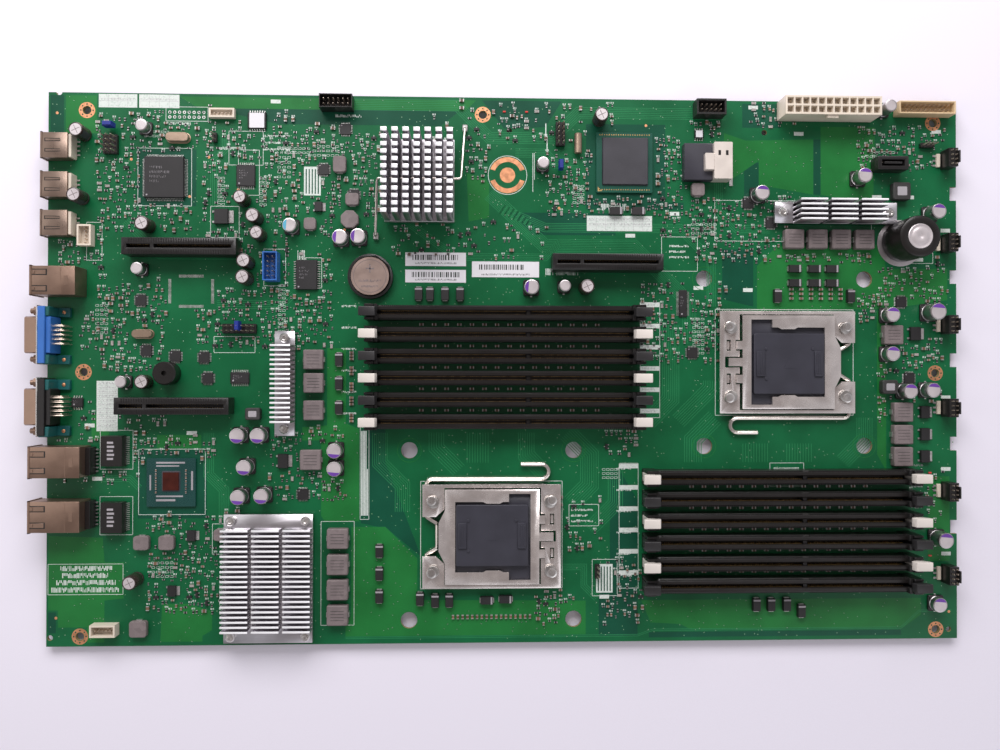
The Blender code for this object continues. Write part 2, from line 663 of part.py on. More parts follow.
# ---- coin cell ---------------------------------------------------------------------------------------
def make_cell():
    x, y = place(*CELL_PLACE)
    bore = CELL_RADIUS + CELL_CLEARANCE
    bank_top = place(*BANK_A_PLACE)[1] + slot_rows()[-1] + TOWER_WIDTH / 2
    y = max(y, bank_top + CELL_BANK_GAP + bore + HOLDER_WALL)
    ring = prism([circle(0, 0, bore + HOLDER_WALL, ROUND_SIDES)], 0, HOLDER_FLOOR + HOLDER_RIM)
    pocket = prism([circle(0, 0, bore, ROUND_SIDES)], HOLDER_FLOOR, 2 * HOLDER_RIM + HOLDER_FLOOR)
    put("battery_holder", in_metres(carved(ring, pocket), "black_plastic"), x, y, SEAT)
    cell = prism([circle(0, 0, CELL_RADIUS, ROUND_SIDES)], 0, CELL_HEIGHT)
    put("battery", in_metres(cell, "bright_steel"), x, y, SEAT + HOLDER_FLOOR + SEAT_GAP)


# ---- card slots ----------------------------------------------------------------------------------------
def make_card_slots():
    width, depth = CARD_GROOVE
    run = CARD_SHORT_GROOVE + CARD_KEY + CARD_LONG_GROOVE
    start = -run / 2
    for number, spot in enumerate(CARD_SLOT_PLACES, 1):
        body = box(CARD_SLOT_LENGTH, CARD_SLOT_WIDTH, CARD_SLOT_HEIGHT)
        floor = CARD_SLOT_HEIGHT - depth
        short = rectangle(start, start + CARD_SHORT_GROOVE, -width / 2, width / 2)
        long = rectangle(start + CARD_SHORT_GROOVE + CARD_KEY, -start, -width / 2, width / 2)
        grooves = [prism([groove], floor, 2 * CARD_SLOT_HEIGHT) for groove in (short, long)]
        put(f"card_slot_{number}", in_metres(carved(body, *grooves), "black_plastic"), *place(*spot), SEAT)


# ---- power, ribbon and disk connectors -------------------------------------------------------------
def make_power_connector():
    length = POWER_WAYS * POWER_PITCH + 2 * POWER_SIDE_WALL
    floor = POWER_HEIGHT - POWER_POCKET_DEPTH
    pockets = []
    for way in range(POWER_WAYS):
        for row in (-0.5, 0.5):
            middle = (way - (POWER_WAYS - 1) / 2) * POWER_PITCH
            pockets.append(centred(POWER_POCKET, POWER_POCKET, middle, row * POWER_PITCH * 1.05))
    base = box(length, POWER_WIDTH, floor + 0.5)
    grid = prism([centred(length - 0.02, POWER_WIDTH - 0.02), *pockets], floor, POWER_HEIGHT)
    wide, thick, tall = POWER_LATCH
    ramp = box(wide, thick + 0.5, tall, 0, -POWER_WIDTH / 2 - thick / 2 + 0.25, POWER_HEIGHT - tall - 1.0)
    body = joined(base, grid, ramp)
    put("power_connector_24", in_metres(body, "white_plastic"), *place(*POWER_PLACE), SEAT)


def make_ribbon_header():
    length, width, height = RIBBON_BODY
    body = box(length, width, height)
    well = box(length - 2 * RIBBON_WALL, width - 2 * RIBBON_WALL, height, z=height - RIBBON_DEPTH)
    put("ribbon_header", in_metres(carved(body, well), "tan_plastic"), *place(*RIBBON_PLACE), SEAT)


def make_disk_connectors():
    height = DISK_BODY[2]
    floor = height - DISK_DEPTH
    mouth = prism([centred(*DISK_MOUTH), centred(*DISK_BLADE)], floor, 2 * height)
    body = carved(box(*DISK_BODY), mouth)
    put("disk_connector", in_metres(body, "black_plastic"), *place(*DISK_PLACE), SEAT)
    length = WIDE_DISK_BODY[0]
    cage = box(*WIDE_DISK_CAGE, length / 2 + WIDE_DISK_CAGE[0] / 2 - 0.6, 0, 0.02)
    block = box(*WIDE_DISK_BLOCK, length / 2 - WIDE_DISK_BLOCK[0] / 2 + 0.2, 0, 0.01)
    body = joined(box(*WIDE_DISK_BODY), cage, block)
    put("wide_disk_connector", in_metres(body, "slate_plastic"), *place(*WIDE_DISK_PLACE), SEAT)


# ---- ports ----------------------------------------------------------------------------------------------
def make_usb_ports():
    depth, width, height = USB_BODY
    tongue_width, tongue_height = USB_TONGUE
    for number, y in enumerate(USB_PLACES, 1):
        shell = box(*USB_BODY, depth / 2)
        mouth = centred(width - 2 * USB_SHELL, height - 2 * USB_SHELL, 0, height / 2)
        tongue = centred(tongue_width, tongue_height, 0, height / 2)
        hollow = prism([mouth, tongue], USB_TONGUE_SET_BACK, depth - USB_BACK, "X")
        front = prism([mouth], -1.0, USB_TONGUE_SET_BACK + 0.01, "X")
        body = in_metres(carved(shell, front, hollow), "bright_steel")
        put(f"usb_port_{number}", body, left_edge(), place(0, y)[1], SEAT)


def plug_port(size, overhang):
    """Shielded jack with a stepped mouth for a plug and its clip."""
    depth, width, height = size
    mouth_width, mouth_height = PLUG_MOUTH
    key_width, key_height = PLUG_KEY
    top = PLUG_FLOOR + mouth_height
    half, key = mouth_width / 2, key_width / 2
    mouth = [(-half, PLUG_FLOOR), (half, PLUG_FLOOR), (half, top), (key, top)]
    mouth += [(key, top + key_height), (-key, top + key_height), (-key, top), (-half, top)]
    body = box(*size, depth / 2 - overhang)
    return carved(body, prism([mouth], -overhang - 1.0, PLUG_DEPTH - overhang, "X"))


def make_plug_ports():
    service = in_metres(plug_port(SERVICE_BODY, SERVICE_OVERHANG), "tinned_shell")
    put("service_port", service, left_edge(), place(0, SERVICE_PLACE)[1], SEAT)
    for number, y in enumerate(LAN_PLACES, 1):
        body = in_metres(plug_port(LAN_BODY, LAN_OVERHANG), "tinned_shell")
        put(f"lan_port_{number}", body, left_edge(), place(0, y)[1], SEAT)


def dsub_outline(inset):
    """The connector's D shape with its wide side up, drawn about its middle."""
    width, height = DSUB_SHELL
    half, rise = width / 2 - inset, height / 2 - inset
    lean = 2 * rise * math.tan(DSUB_SLANT)
    return [(-half + lean, -rise), (half - lean, -rise), (half, rise), (-half, rise)]


def dsub_mesh(recess):
    """Housing and flange, D-shaped shell, two jack screws and two feet, open towards -X."""
    axis = DSUB_AXIS_HEIGHT
    housing = box(DSUB_BODY_DEPTH, DSUB_WIDTH - 0.4, DSUB_HEIGHT - 0.4, DSUB_BODY_DEPTH / 2)
    flange = box(DSUB_FLANGE, DSUB_WIDTH, DSUB_HEIGHT, DSUB_FLANGE / 2 - 0.5)
    shell = [(y, z + axis) for y, z in dsub_outline(0.0)]
    nose = prism([shell], -DSUB_SHELL_REACH - 0.5, 0.5, "X")
    adds = [flange, nose]
    foot_length, foot_width, foot_height = DSUB_FOOT
    for way in (-1, 1):
        middle = way * (DSUB_WIDTH / 2 - foot_width / 2 - 0.3)
        adds.append(box(foot_length - 0.9, foot_width, foot_height, foot_length / 2 + 0.45, middle, 0.01))
        screw = circle(way * DSUB_SCREW_SPACING / 2, axis, DSUB_SCREW_RADIUS, 6)
        adds.append(prism([screw], -DSUB_SCREW_REACH - 0.5, 0.3, "X"))
    mouth = [(y, z + axis) for y, z in dsub_outline(DSUB_SHELL_WALL)]
    hollow = prism([mouth], -DSUB_SHELL_REACH - 2.0, recess - DSUB_SHELL_REACH - 0.5, "X")
    return carved(joined(housing, *adds), hollow)


def make_dsub_ports():
    video = in_metres(dsub_mesh(VIDEO_RECESS), "blue_plastic")
    put("video_port", video, left_edge(), place(0, VIDEO_PLACE)[1], SEAT)
    serial = in_metres(dsub_mesh(SERIAL_RECESS), "black_plastic")
    put("serial_port", serial, left_edge(), place(0, SERIAL_PLACE)[1], SEAT)


# ---- heatsinks -------------------------------------------------------------------------------------
def spread(count, run, share):
    """Low and high ends of count equal bars over a run, each filling the given share of its pitch."""
    pitch = run / (count - 1 + share)
    return [(-run / 2 + number * pitch, -run / 2 + (number + share) * pitch) for number in range(count)]


def make_heatsinks():
    length, width, height = PIN_SINK
    seat = SEAT + PIN_SINK_SEAT
    pins_x = spread(PINS[0], length - 0.6, PIN_SHARE)
    pins_y = spread(PINS[1], width - 0.6, PIN_SHARE)
    base = box(length, width, PIN_SINK_BASE)
    rise = height - PIN_SINK_SEAT - PIN_SINK_BASE + 0.5
    pins = []
    for x_low, x_high in pins_x:
        for y_low, y_high in pins_y:
            pin = rectangle(x_low, x_high, y_low, y_high)
            pins.append(prism([pin], PIN_SINK_BASE - PIN_ROOT, PIN_SINK_BASE - PIN_ROOT + rise))
    put("pin_heatsink", in_metres(joined(base, merged(pins)), "aluminium"), *place(*PIN_SINK_PLACE), seat)


def merged(meshes):
    """Separate closed bodies in one mesh, as a tool for one Boolean."""
    shape = bmesh.new()
    for mesh in meshes:
        shape.from_mesh(mesh)
    whole = bpy.data.meshes.new("tools")
    shape.to_mesh(whole)
    shape.free()
    return whole


def make_finned(name, spot, size, fins_x, fins_y):
    length, width, height = size
    low, high = SINK_BASE - 0.5, height - SINK_SEAT
    bars = []
    for x_low, x_high in fins_x:
        for y_low, y_high in fins_y:
            bars.append(prism([rectangle(x_low, x_high, y_low, y_high)], low, high))
    body = joined(box(length, width, SINK_BASE), merged(bars))
    put(name, in_metres(body, "aluminium"), *place(*spot), SEAT + SINK_SEAT)


def fin_ranges(count, run):
    pitch = (run - SINK_FIN) / (count - 1)
    return [(-run / 2 + number * pitch, -run / 2 + number * pitch + SINK_FIN) for number in range(count)]


def column_ranges(count, run):
    width = (run - (count - 1) * SINK_COLUMN_GAP) / count
    starts = [-run / 2 + number * (width + SINK_COLUMN_GAP) for number in range(count)]
    return [(start, start + width) for start in starts]


def make_low_heatsinks():
    side_x = column_ranges(1, SIDE_SINK[0] - 0.1)
    make_finned("side_heatsink", SIDE_SINK_PLACE, SIDE_SINK, side_x, fin_ranges(SIDE_SINK_FINS, SIDE_SINK_FIN_RUN))
    large_x = column_ranges(3, LARGE_SINK[0] - 0.1)
    large_y = fin_ranges(LARGE_SINK_FINS, LARGE_SINK_FIN_RUN)
    make_finned("large_heatsink", LARGE_SINK_PLACE, LARGE_SINK, large_x, large_y)
    regulator_x = column_ranges(3, REGULATOR_SINK_FIN_RUN)
    regulator_y = fin_ranges(REGULATOR_SINK_FINS, REGULATOR_SINK[1] - 0.1)
    make_finned("regulator_heatsink", REGULATOR_SINK_PLACE, REGULATOR_SINK, regulator_x, regulator_y)


def main():
    for thing in list(bpy.data.objects):
        bpy.data.objects.remove(thing)
    make_board()
    make_bank("a", BANK_A_PLACE, KEY_OFFSET)
    make_bank("b", BANK_B_PLACE, -KEY_OFFSET)
    make_socket("a", SOCKET_A_PLACE, 0)
    make_socket("b", SOCKET_B_PLACE, 180)
    make_cell()
    make_card_slots()
    make_power_connector()
    make_ribbon_header()
    make_disk_connectors()
    make_usb_ports()
    make_plug_ports()
    make_dsub_ports()
    make_heatsinks()
    make_low_heatsinks()


main()
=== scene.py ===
"""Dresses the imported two-socket server board with its finishes, small parts, printing and stage.

Plan sizes are in millimetres from the board's lower left corner, with heights from its top face.
"""

import json
import math

import bmesh
import bpy
import numpy as np
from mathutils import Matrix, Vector

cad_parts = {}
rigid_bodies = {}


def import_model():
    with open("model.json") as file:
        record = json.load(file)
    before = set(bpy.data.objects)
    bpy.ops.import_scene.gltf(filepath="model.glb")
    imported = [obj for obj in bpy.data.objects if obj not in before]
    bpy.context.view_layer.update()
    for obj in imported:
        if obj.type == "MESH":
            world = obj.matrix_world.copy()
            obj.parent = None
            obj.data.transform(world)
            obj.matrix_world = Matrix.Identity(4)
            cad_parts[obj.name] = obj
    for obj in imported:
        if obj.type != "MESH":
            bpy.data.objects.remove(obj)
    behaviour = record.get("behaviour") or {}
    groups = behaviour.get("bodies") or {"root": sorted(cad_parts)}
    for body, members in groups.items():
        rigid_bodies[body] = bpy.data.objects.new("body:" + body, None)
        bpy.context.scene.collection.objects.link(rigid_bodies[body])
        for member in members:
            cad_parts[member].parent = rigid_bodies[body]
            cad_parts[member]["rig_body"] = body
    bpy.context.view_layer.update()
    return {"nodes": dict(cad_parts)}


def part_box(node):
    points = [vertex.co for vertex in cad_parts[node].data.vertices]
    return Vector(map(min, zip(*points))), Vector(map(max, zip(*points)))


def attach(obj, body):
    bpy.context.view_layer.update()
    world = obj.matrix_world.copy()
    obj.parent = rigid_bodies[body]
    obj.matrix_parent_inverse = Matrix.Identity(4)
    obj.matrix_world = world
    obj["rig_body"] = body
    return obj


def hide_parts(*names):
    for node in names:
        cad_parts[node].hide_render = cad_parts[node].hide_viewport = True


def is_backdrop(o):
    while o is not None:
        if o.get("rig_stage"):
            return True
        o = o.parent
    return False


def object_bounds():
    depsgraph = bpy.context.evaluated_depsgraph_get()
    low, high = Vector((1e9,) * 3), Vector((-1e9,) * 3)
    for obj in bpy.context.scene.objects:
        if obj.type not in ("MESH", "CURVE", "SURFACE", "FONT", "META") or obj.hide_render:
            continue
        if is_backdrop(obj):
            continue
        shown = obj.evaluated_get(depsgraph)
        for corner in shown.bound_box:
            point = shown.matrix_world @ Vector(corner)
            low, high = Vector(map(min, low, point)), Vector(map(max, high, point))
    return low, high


bl_info = {
    "name": "Server board finishes",
    "version": (1, 0, 0),
    "blender": (4, 5, 0),
    "location": "3D View > Sidebar > Board",
    "description": "Finishes, small parts and printing for a two-socket server board",
    "category": "Object",
}

for startup in bpy.data.objects[:]:
    bpy.data.objects.remove(startup)
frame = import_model()

MM = 0.001
BOARD_LOW, BOARD_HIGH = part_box("pcb")
ORIGIN = np.array((BOARD_LOW.x, BOARD_LOW.y, BOARD_HIGH.z))
BOARD_LENGTH, BOARD_WIDTH = (np.array(BOARD_HIGH - BOARD_LOW)[:2] / MM).tolist()
BOARD_THICKNESS = (BOARD_HIGH.z - BOARD_LOW.z) / MM
SMOOTH_UNDER = math.radians(38)
PIN_PITCH, PIN_SIDE = 2.54, 0.64  # of a header's square posts
CARD_PITCH = 1.27  # of a card slot's contacts
INK_LIFT = 0.06  # how far printing and bare copper stand over the mask


# ---- shapes: each is (points, list of face index arrays), in plan millimetres ----------------
def plan_box(node):
    """Lowest and highest corner of a CAD node, on the plan."""
    low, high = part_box(node)
    return (np.array(low) - ORIGIN) / MM, (np.array(high) - ORIGIN) / MM


def plan_centre(node):
    low, high = plan_box(node)
    return (low + high) / 2


def skin(rings, looped=False):
    """Surface through rings of points: point j of ring i joins point j + 1 and the same two of ring
    i + 1.  Rings turn left round the way they are stacked.  Open ends are flat caps."""
    rings = np.asarray(rings, float)
    rows, around = rings.shape[:2]
    index = np.arange(rows * around).reshape(rows, around)
    low, high = (index, np.roll(index, -1, 0)) if looped else (index[:-1], index[1:])
    sides = np.stack((low, np.roll(low, -1, 1), np.roll(high, -1, 1), high), -1).reshape(-1, 4)
    caps = [] if looped else [index[:1, ::-1], index[-1:]]
    return rings.reshape(-1, 3), [sides, *caps]


def oblong(length, width, corner=0.0, steps=1):
    """Rectangle with round corners: each corner arc's centre plus corner * (cos, sin) of its turn."""
    turn = np.linspace(0, np.pi / 2, steps) if steps > 1 else np.array([np.pi / 4])
    angle = (np.arange(4)[:, None] * np.pi / 2 + turn).ravel()
    side = np.repeat(np.array([(1, 1), (-1, 1), (-1, -1), (1, -1)]), len(turn), 0)
    centre = np.array((length / 2 - corner, width / 2 - corner))
    return side * centre + corner * np.column_stack((np.cos(angle), np.sin(angle)))


def disc(radius, sides, start=0.0, stop=2 * np.pi):
    """Points radius * (cos, sin) of evenly spaced turns."""
    angle = start + np.arange(sides) * (stop - start) / sides
    return radius * np.column_stack((np.cos(angle), np.sin(angle)))


def block(length, width, levels, corner=0.0, steps=1):
    """Stack of oblongs, each level a (height, inset) pair."""
    least = 0.01 if steps > 1 else 0.0
    rings = [
        np.column_stack((
            oblong(length - 2 * inset, width - 2 * inset, max(corner - inset, least), steps),
            np.full(4 * steps, height),
        ))
        for height, inset in levels
    ]
    return skin(rings)


def turned(profile, sides=24):
    """Surface of revolution about Z: each (height, radius) of the profile swept through a full turn."""
    rings = [np.column_stack((disc(radius, sides), np.full(sides, height))) for height,
             radius in profile]
    return skin(rings)


def slab(low, high, edge=0.0):
    """Box between two corners, with its upright and top edges cut back by edge."""
    low, high = np.array(low, float), np.array(high, float)
    length, width, height = high - low
    if edge:
        shape = block(length, width, ((0, 0), (height - edge, 0), (height, edge)), edge, 2)
    else:
        shape = block(length, width, ((0, 0), (height, 0)))
    return shifted(shape, ((low[0] + high[0]) / 2, (low[1] + high[1]) / 2, low[2]))


def extruded(profile, low, high, axis=2):
    """Prism of a left-turning profile along an axis; the profile's numbers are the next two axes."""
    profile = np.asarray(profile, float)
    rings = np.empty((2, len(profile), 3))
    rings[..., (axis + 1) % 3] = profile[:, 0]
    rings[..., (axis + 2) % 3] = profile[:, 1]
    rings[0, :, axis], rings[1, :, axis] = low, high
    return skin(rings)


def ring_plate(outer, inner, low, high, sides=48, start=0.0, stop=2 * np.pi):
    """Flat ring, or a part of one: its square section swept round the middle."""
    whole = stop - start > 2 * np.pi - 1e-6
    angle = np.linspace(start, stop, sides, endpoint=not whole)
    section = np.array(((inner, low), (inner, high), (outer, high), (outer, low)))[::-1]
    rings = np.empty((sides, 4, 3))
    rings[..., 0] = section[:, 0] * np.cos(angle)[:, None]
    rings[..., 1] = section[:, 0] * np.sin(angle)[:, None]
    rings[..., 2] = section[:, 1]
    return outward(skin(rings, looped=whole))


def tube(path, radius, sides=8, flat=(0, 0, 1)):
    """Round wire: at each point a circle across the path's direction, turned so that flat x direction
    starts it."""
    path = np.asarray(path, float)
    ahead = np.gradient(path, axis=0)
    ahead /= np.linalg.norm(ahead, axis=1)[:, None]
    across = np.cross(np.array(flat, float), ahead)
    across /= np.linalg.norm(across, axis=1)[:, None]
    upward = np.cross(ahead, across)
    angle = np.arange(sides) * 2 * np.pi / sides
    rings = (
        path[:, None]
        + radius * np.cos(angle)[None, :, None] * across[:, None]
        + radius * np.sin(angle)[None, :, None] * upward[:, None]
    )
    return outward(skin(rings))


def rounded_path(corners, radius, steps=6):
    """Path through corners with each inner one replaced by a curve: a quadratic from one tangent
    point to the other."""
    corners = np.asarray(corners, float)
    points = [corners[:1]]
    for before, corner, after in zip(corners, corners[1:], corners[2:]):
        start = corner + (before - corner) / np.linalg.norm(before - corner) * radius
        stop = corner + (after - corner) / np.linalg.norm(after - corner) * radius
        share = np.linspace(0, 1, steps)[:, None]
        points.append((1 - share) ** 2 * start + 2 * share * (1 - share) * corner + share**2 * stop)
    points.append(corners[-1:])
    return np.concatenate(points)


def volume(shape):
    """Six times the signed volume: the sum over each face's fan of triangles of its triple product."""
    points, faces = shape
    return sum(
        np.einsum("ij,ij->", points[group[:, 0]],
                  np.cross(points[group[:, k]], points[group[:, k + 1]]))
        for group in faces for k in range(1, group.shape[1] - 1)
    )


def outward(shape):
    """The shape with its faces turned outwards, by the sign of its volume."""
    return shape if volume(shape) > 0 else (shape[0], [group[:, ::-1] for group in shape[1]])


def shifted(shape, offset=(0, 0, 0), turn=0.0, tip=0.0):
    """Shape tipped about X, turned about Z, then moved; angles are in degrees."""
    points = shape[0]
    if tip:
        cos, sin = math.cos(math.radians(tip)), math.sin(math.radians(tip))
        points = points @ np.array(((1, 0, 0), (0, cos, -sin), (0, sin, cos))).T
    if turn:
        cos, sin = math.cos(math.radians(turn)), math.sin(math.radians(turn))
        points = points @ np.array(((cos, -sin, 0), (sin, cos, 0), (0, 0, 1))).T
    return points + np.array((*offset, 0)[:3], float), shape[1]


def joined(shapes):
    """One shape of many: each one's faces count on from the points before it."""
    shapes = [shape for shape in shapes if len(shape[0])]
    starts = np.cumsum([0, *(len(points) for points, _ in shapes)])
    return (
        np.concatenate([points for points, _ in shapes]),
        [group + start for (_, faces), start in zip(shapes, starts) for group in faces],
    )


def copies(shape, places, turns=0.0):
    """The shape at each place, turned about Z: every place times every point in one array."""
    points, faces = shape
    places = np.atleast_2d(np.asarray(places, float))
    if not len(places):
        return np.empty((0, 3)), []
    if places.shape[1] == 2:
        places = np.column_stack((places, np.zeros(len(places))))
    angle = np.radians(np.broadcast_to(turns, len(places)))[:, None]
    x = points[:, 0] * np.cos(angle) - points[:, 1] * np.sin(angle) + places[:, :1]
    y = points[:, 0] * np.sin(angle) + points[:, 1] * np.cos(angle) + places[:, 1:2]
    z = points[:, 2] + places[:, 2:]
    starts = np.arange(len(places))[:, None, None] * len(points)
    return (
        np.stack((x, y, z), -1).reshape(-1, 3),
        [(group + starts).reshape(-1, group.shape[1]) for group in faces],
    )


def spread(count, pitch):
    """Evenly spaced places about zero."""
    return (np.arange(count) - (count - 1) / 2) * pitch


def grid(columns, rows, pitch_x, pitch_y):
    """Places of a grid about zero, row by row."""
    x, y = np.meshgrid(spread(columns, pitch_x), spread(rows, pitch_y))
    return np.column_stack((x.ravel(), y.ravel()))


def around_square(count, pitch, reach_x, reach_y):
    """Places and outward turns of count leads on each side of a rectangle."""
    line = spread(count, pitch)
    far = np.full(count, 1.0)
    places = np.concatenate((
        np.column_stack((far * reach_x, line)), np.column_stack((line, far * reach_y)),
        np.column_stack((-far * reach_x, line)), np.column_stack((line, -far * reach_y)),
    ))
    return places, np.repeat((0.0, 90.0, 180.0, 270.0), count)


# ---- objects ---------------------------------------------------------------------------------
def make_piece(name, shapes, finish, body="root", replaces=()):
    """One mesh object from shapes, with its place in its points."""
    points, faces = joined(shapes)
    sizes = np.concatenate([np.full(len(group), group.shape[1]) for group in faces])
    mesh = bpy.data.meshes.new(name)
    mesh.vertices.add(len(points))
    mesh.vertices.foreach_set("co", (points * MM + ORIGIN).astype(np.float32).ravel())
    mesh.loops.add(int(sizes.sum()))
    mesh.loops.foreach_set("vertex_index",
                           np.concatenate([group.ravel() for group in faces]).astype(np.int32))
    mesh.polygons.add(len(sizes))
    mesh.polygons.foreach_set("loop_start", np.concatenate(((0,),
        np.cumsum(sizes)[:-1])).astype(np.int32))
    mesh.update(calc_edges=True)
    if mesh.validate():
        raise RuntimeError(f"{name} has a face that repeats a point")
    return finished(bpy.data.objects.new(name, mesh), finish, body, replaces)


def finished(obj, finish, body, replaces=()):
    """Links an object, gives it its finish and shading, and ties it to its body."""
    bpy.context.scene.collection.objects.link(obj)
    obj.data.materials.clear()
    obj.data.materials.append(coat(finish))
    obj.data.shade_smooth()
    obj.data.set_sharp_from_angle(angle=SMOOTH_UNDER)
    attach(obj, body)
    if replaces:
        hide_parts(*replaces)
    return obj


def dress(node, finish, edge, segments=2):
    """Stands a copy of a CAD node's mesh in for it, doubles merged and edges rounded by edge."""
    source = frame["nodes"][node]
    mesh = source.data.copy()
    work = bmesh.new()
    work.from_mesh(mesh)
    bmesh.ops.remove_doubles(work, verts=work.verts, dist=2e-6)
    bmesh.ops.dissolve_limit(work, angle_limit=math.radians(1), verts=work.verts, edges=work.edges)
    work.to_mesh(mesh)
    work.free()
    obj = bpy.data.objects.new(f"{node}_finished", mesh)
    finished(obj, finish, source["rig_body"], (node,))
    obj.data.set_sharp_from_angle(angle=math.pi)
    bevel = obj.modifiers.new("round_edges", "BEVEL")
    bevel.width, bevel.segments, bevel.limit_method = edge * MM, segments, "ANGLE"
    bevel.angle_limit, bevel.harden_normals, bevel.use_clamp_overlap = math.radians(30), True, True
    return obj


def paint(node, finish):
    """Gives a CAD node that keeps its shape a new finish."""
    slots = frame["nodes"][node].data.materials
    slots.clear()
    slots.append(coat(finish))


# ---- shader maths ----------------------------------------------------------------------------
class Wire:
    """One shader output; sums and products of it add Math nodes."""

    def __init__(self, shader, socket):
        self.shader, self.socket = shader, socket

    def maths(self, operation, first, second=0.0):
        return self.shader.node("ShaderNodeMath", {"operation": operation}, {0: first, 1: second})

    def __add__(self, other):
        return self.maths("ADD", self, other)

    def __mul__(self, other):
        return self.maths("MULTIPLY", self, other)

    def __sub__(self, other):
        return self.maths("SUBTRACT", self, other)

    def __rsub__(self, other):
        return self.maths("SUBTRACT", other, self)

    __radd__, __rmul__ = __add__, __mul__

    def __gt__(self, other):
        return self.maths("GREATER_THAN", self, other)

    def __lt__(self, other):
        return self.maths("LESS_THAN", self, other)

    def __abs__(self):
        return self.maths("ABSOLUTE", self)

    def ramp(self, low, high, start=0.0, stop=1.0):
        """start under low, stop over high, and a straight line between."""
        return self.shader.node("ShaderNodeMapRange", {"clamp": True},
                                {0: self, 1: low, 2: high, 3: start, 4: stop})


class Shader:
    """A material's nodes, ending in one Principled surface."""

    def __init__(self, name):
        self.material = bpy.data.materials.new(name)
        self.material.use_nodes = True
        self.tree = self.material.node_tree
        self.surface = next(node for node in self.tree.nodes if node.type == "BSDF_PRINCIPLED")

    def node(self, kind, settings, inputs, output=0):
        """Adds a node: its settings first, then the value or link of each input."""
        node = self.tree.nodes.new(kind)
        for key, value in settings.items():
            setattr(node, key, value)
        for key, value in inputs.items():
            self.feed(node.inputs[key], value)
        return Wire(self, node.outputs[output])

    def feed(self, target, value):
        if isinstance(value, Wire):
            self.tree.links.new(value.socket, target)
        else:
            target.default_value = (*value, 1.0) if target.type == "RGBA" and len(value) == 3 else value

    def place(self, stretch=(1.0, 1.0, 1.0)):
        spot = self.node("ShaderNodeTexCoord", {}, {}, "Object")
        if stretch == (1.0, 1.0, 1.0):
            return spot
        return self.node("ShaderNodeVectorMath", {"operation": "MULTIPLY"}, {0: spot, 1: stretch})

    def axes(self):
        split = self.node("ShaderNodeSeparateXYZ", {}, {0: self.place()})
        return [Wire(self, output) for output in split.socket.node.outputs]

    def noise(self, size, detail=2.0, stretch=(1.0, 1.0, 1.0), spot=None):
        """Soft noise whose spots are about size millimetres."""
        return self.node(
            "ShaderNodeTexNoise", {}, {"Vector": spot or self.place(stretch), "Scale": 1 / (size * MM),
                                       "Detail": detail}
        )

    def cells(self, size):
        """One even random number for each cell of about size millimetres."""
        colour = self.node("ShaderNodeTexVoronoi", {},
                           {"Vector": self.place(), "Scale": 1 / (size * MM)}, "Color")
        return self.node("ShaderNodeSeparateColor", {}, {0: colour})

    def mix(self, share, first, second):
        return self.node("ShaderNodeMix", {"data_type": "RGBA"}, {0: share, 6: first, 7: second}, 2)

    def bump(self, height, depth, strength=1.0):
        """Normals of a height from 0 to 1, depth millimetres deep."""
        return self.node("ShaderNodeBump", {}, {"Height": height, "Distance": depth * MM,
                                                "Strength": strength})

    def finish(self, **values):
        names = {"colour": "Base Color", "ior": "IOR", "coat": "Coat Weight",
                 "coat_roughness": "Coat Roughness",
                 "specular": "Specular IOR Level"}
        for key, value in values.items():
            self.feed(self.surface.inputs[names.get(key, key.capitalize())], value)
        return self.material


def scaled(colour, share):
    return tuple(min(1.0, part * share) for part in colour)


def moulded(name, colour, roughness=0.4, size=0.5, depth=0.02, contrast=0.14, coat=0.0):
    """Moulded plastic: a fine spark-eroded grain, a slow drift of tone and slightly uneven gloss."""
    shader = Shader(name)
    grain, drift = shader.noise(size, 3.0), shader.noise(size * 40)
    tone = shader.mix(drift.ramp(0.3, 0.7), scaled(colour, 1 - contrast), scaled(colour, 1 + contrast))
    tone = shader.mix((grain > 0.62) * 0.35, tone, scaled(colour, 1 + 2 * contrast))
    return shader.finish(
        colour=tone, roughness=grain * 0.12 + drift * 0.1 + (roughness - 0.11),
        normal=shader.bump(grain, depth), coat=coat, coat_roughness=0.2,
    )


def sheet_metal(name, colour, roughness=0.3, grain=(1.0, 12.0, 12.0), size=2.0, depth=0.006,
                contrast=0.12, metallic=1.0):
    """Plated or rolled metal: long hairlines, cloudy tone and handling smudges in the gloss."""
    shader = Shader(name)
    hairs, clouds = shader.noise(size, 4.0, grain), shader.noise(9.0, 3.0)
    tone = shader.mix(clouds.ramp(0.3, 0.7), scaled(colour, 1 - contrast), scaled(colour, 1 + contrast))
    tone = shader.mix(hairs.ramp(0.35, 0.65) * 0.25, tone, scaled(colour, 1 - 2 * contrast))
    return shader.finish(
        colour=tone, metallic=metallic, roughness=hairs * 0.12 + clouds.ramp(0.4,
            0.7) * 0.1 + (roughness - 0.1),
        normal=shader.bump(hairs, depth),
    )


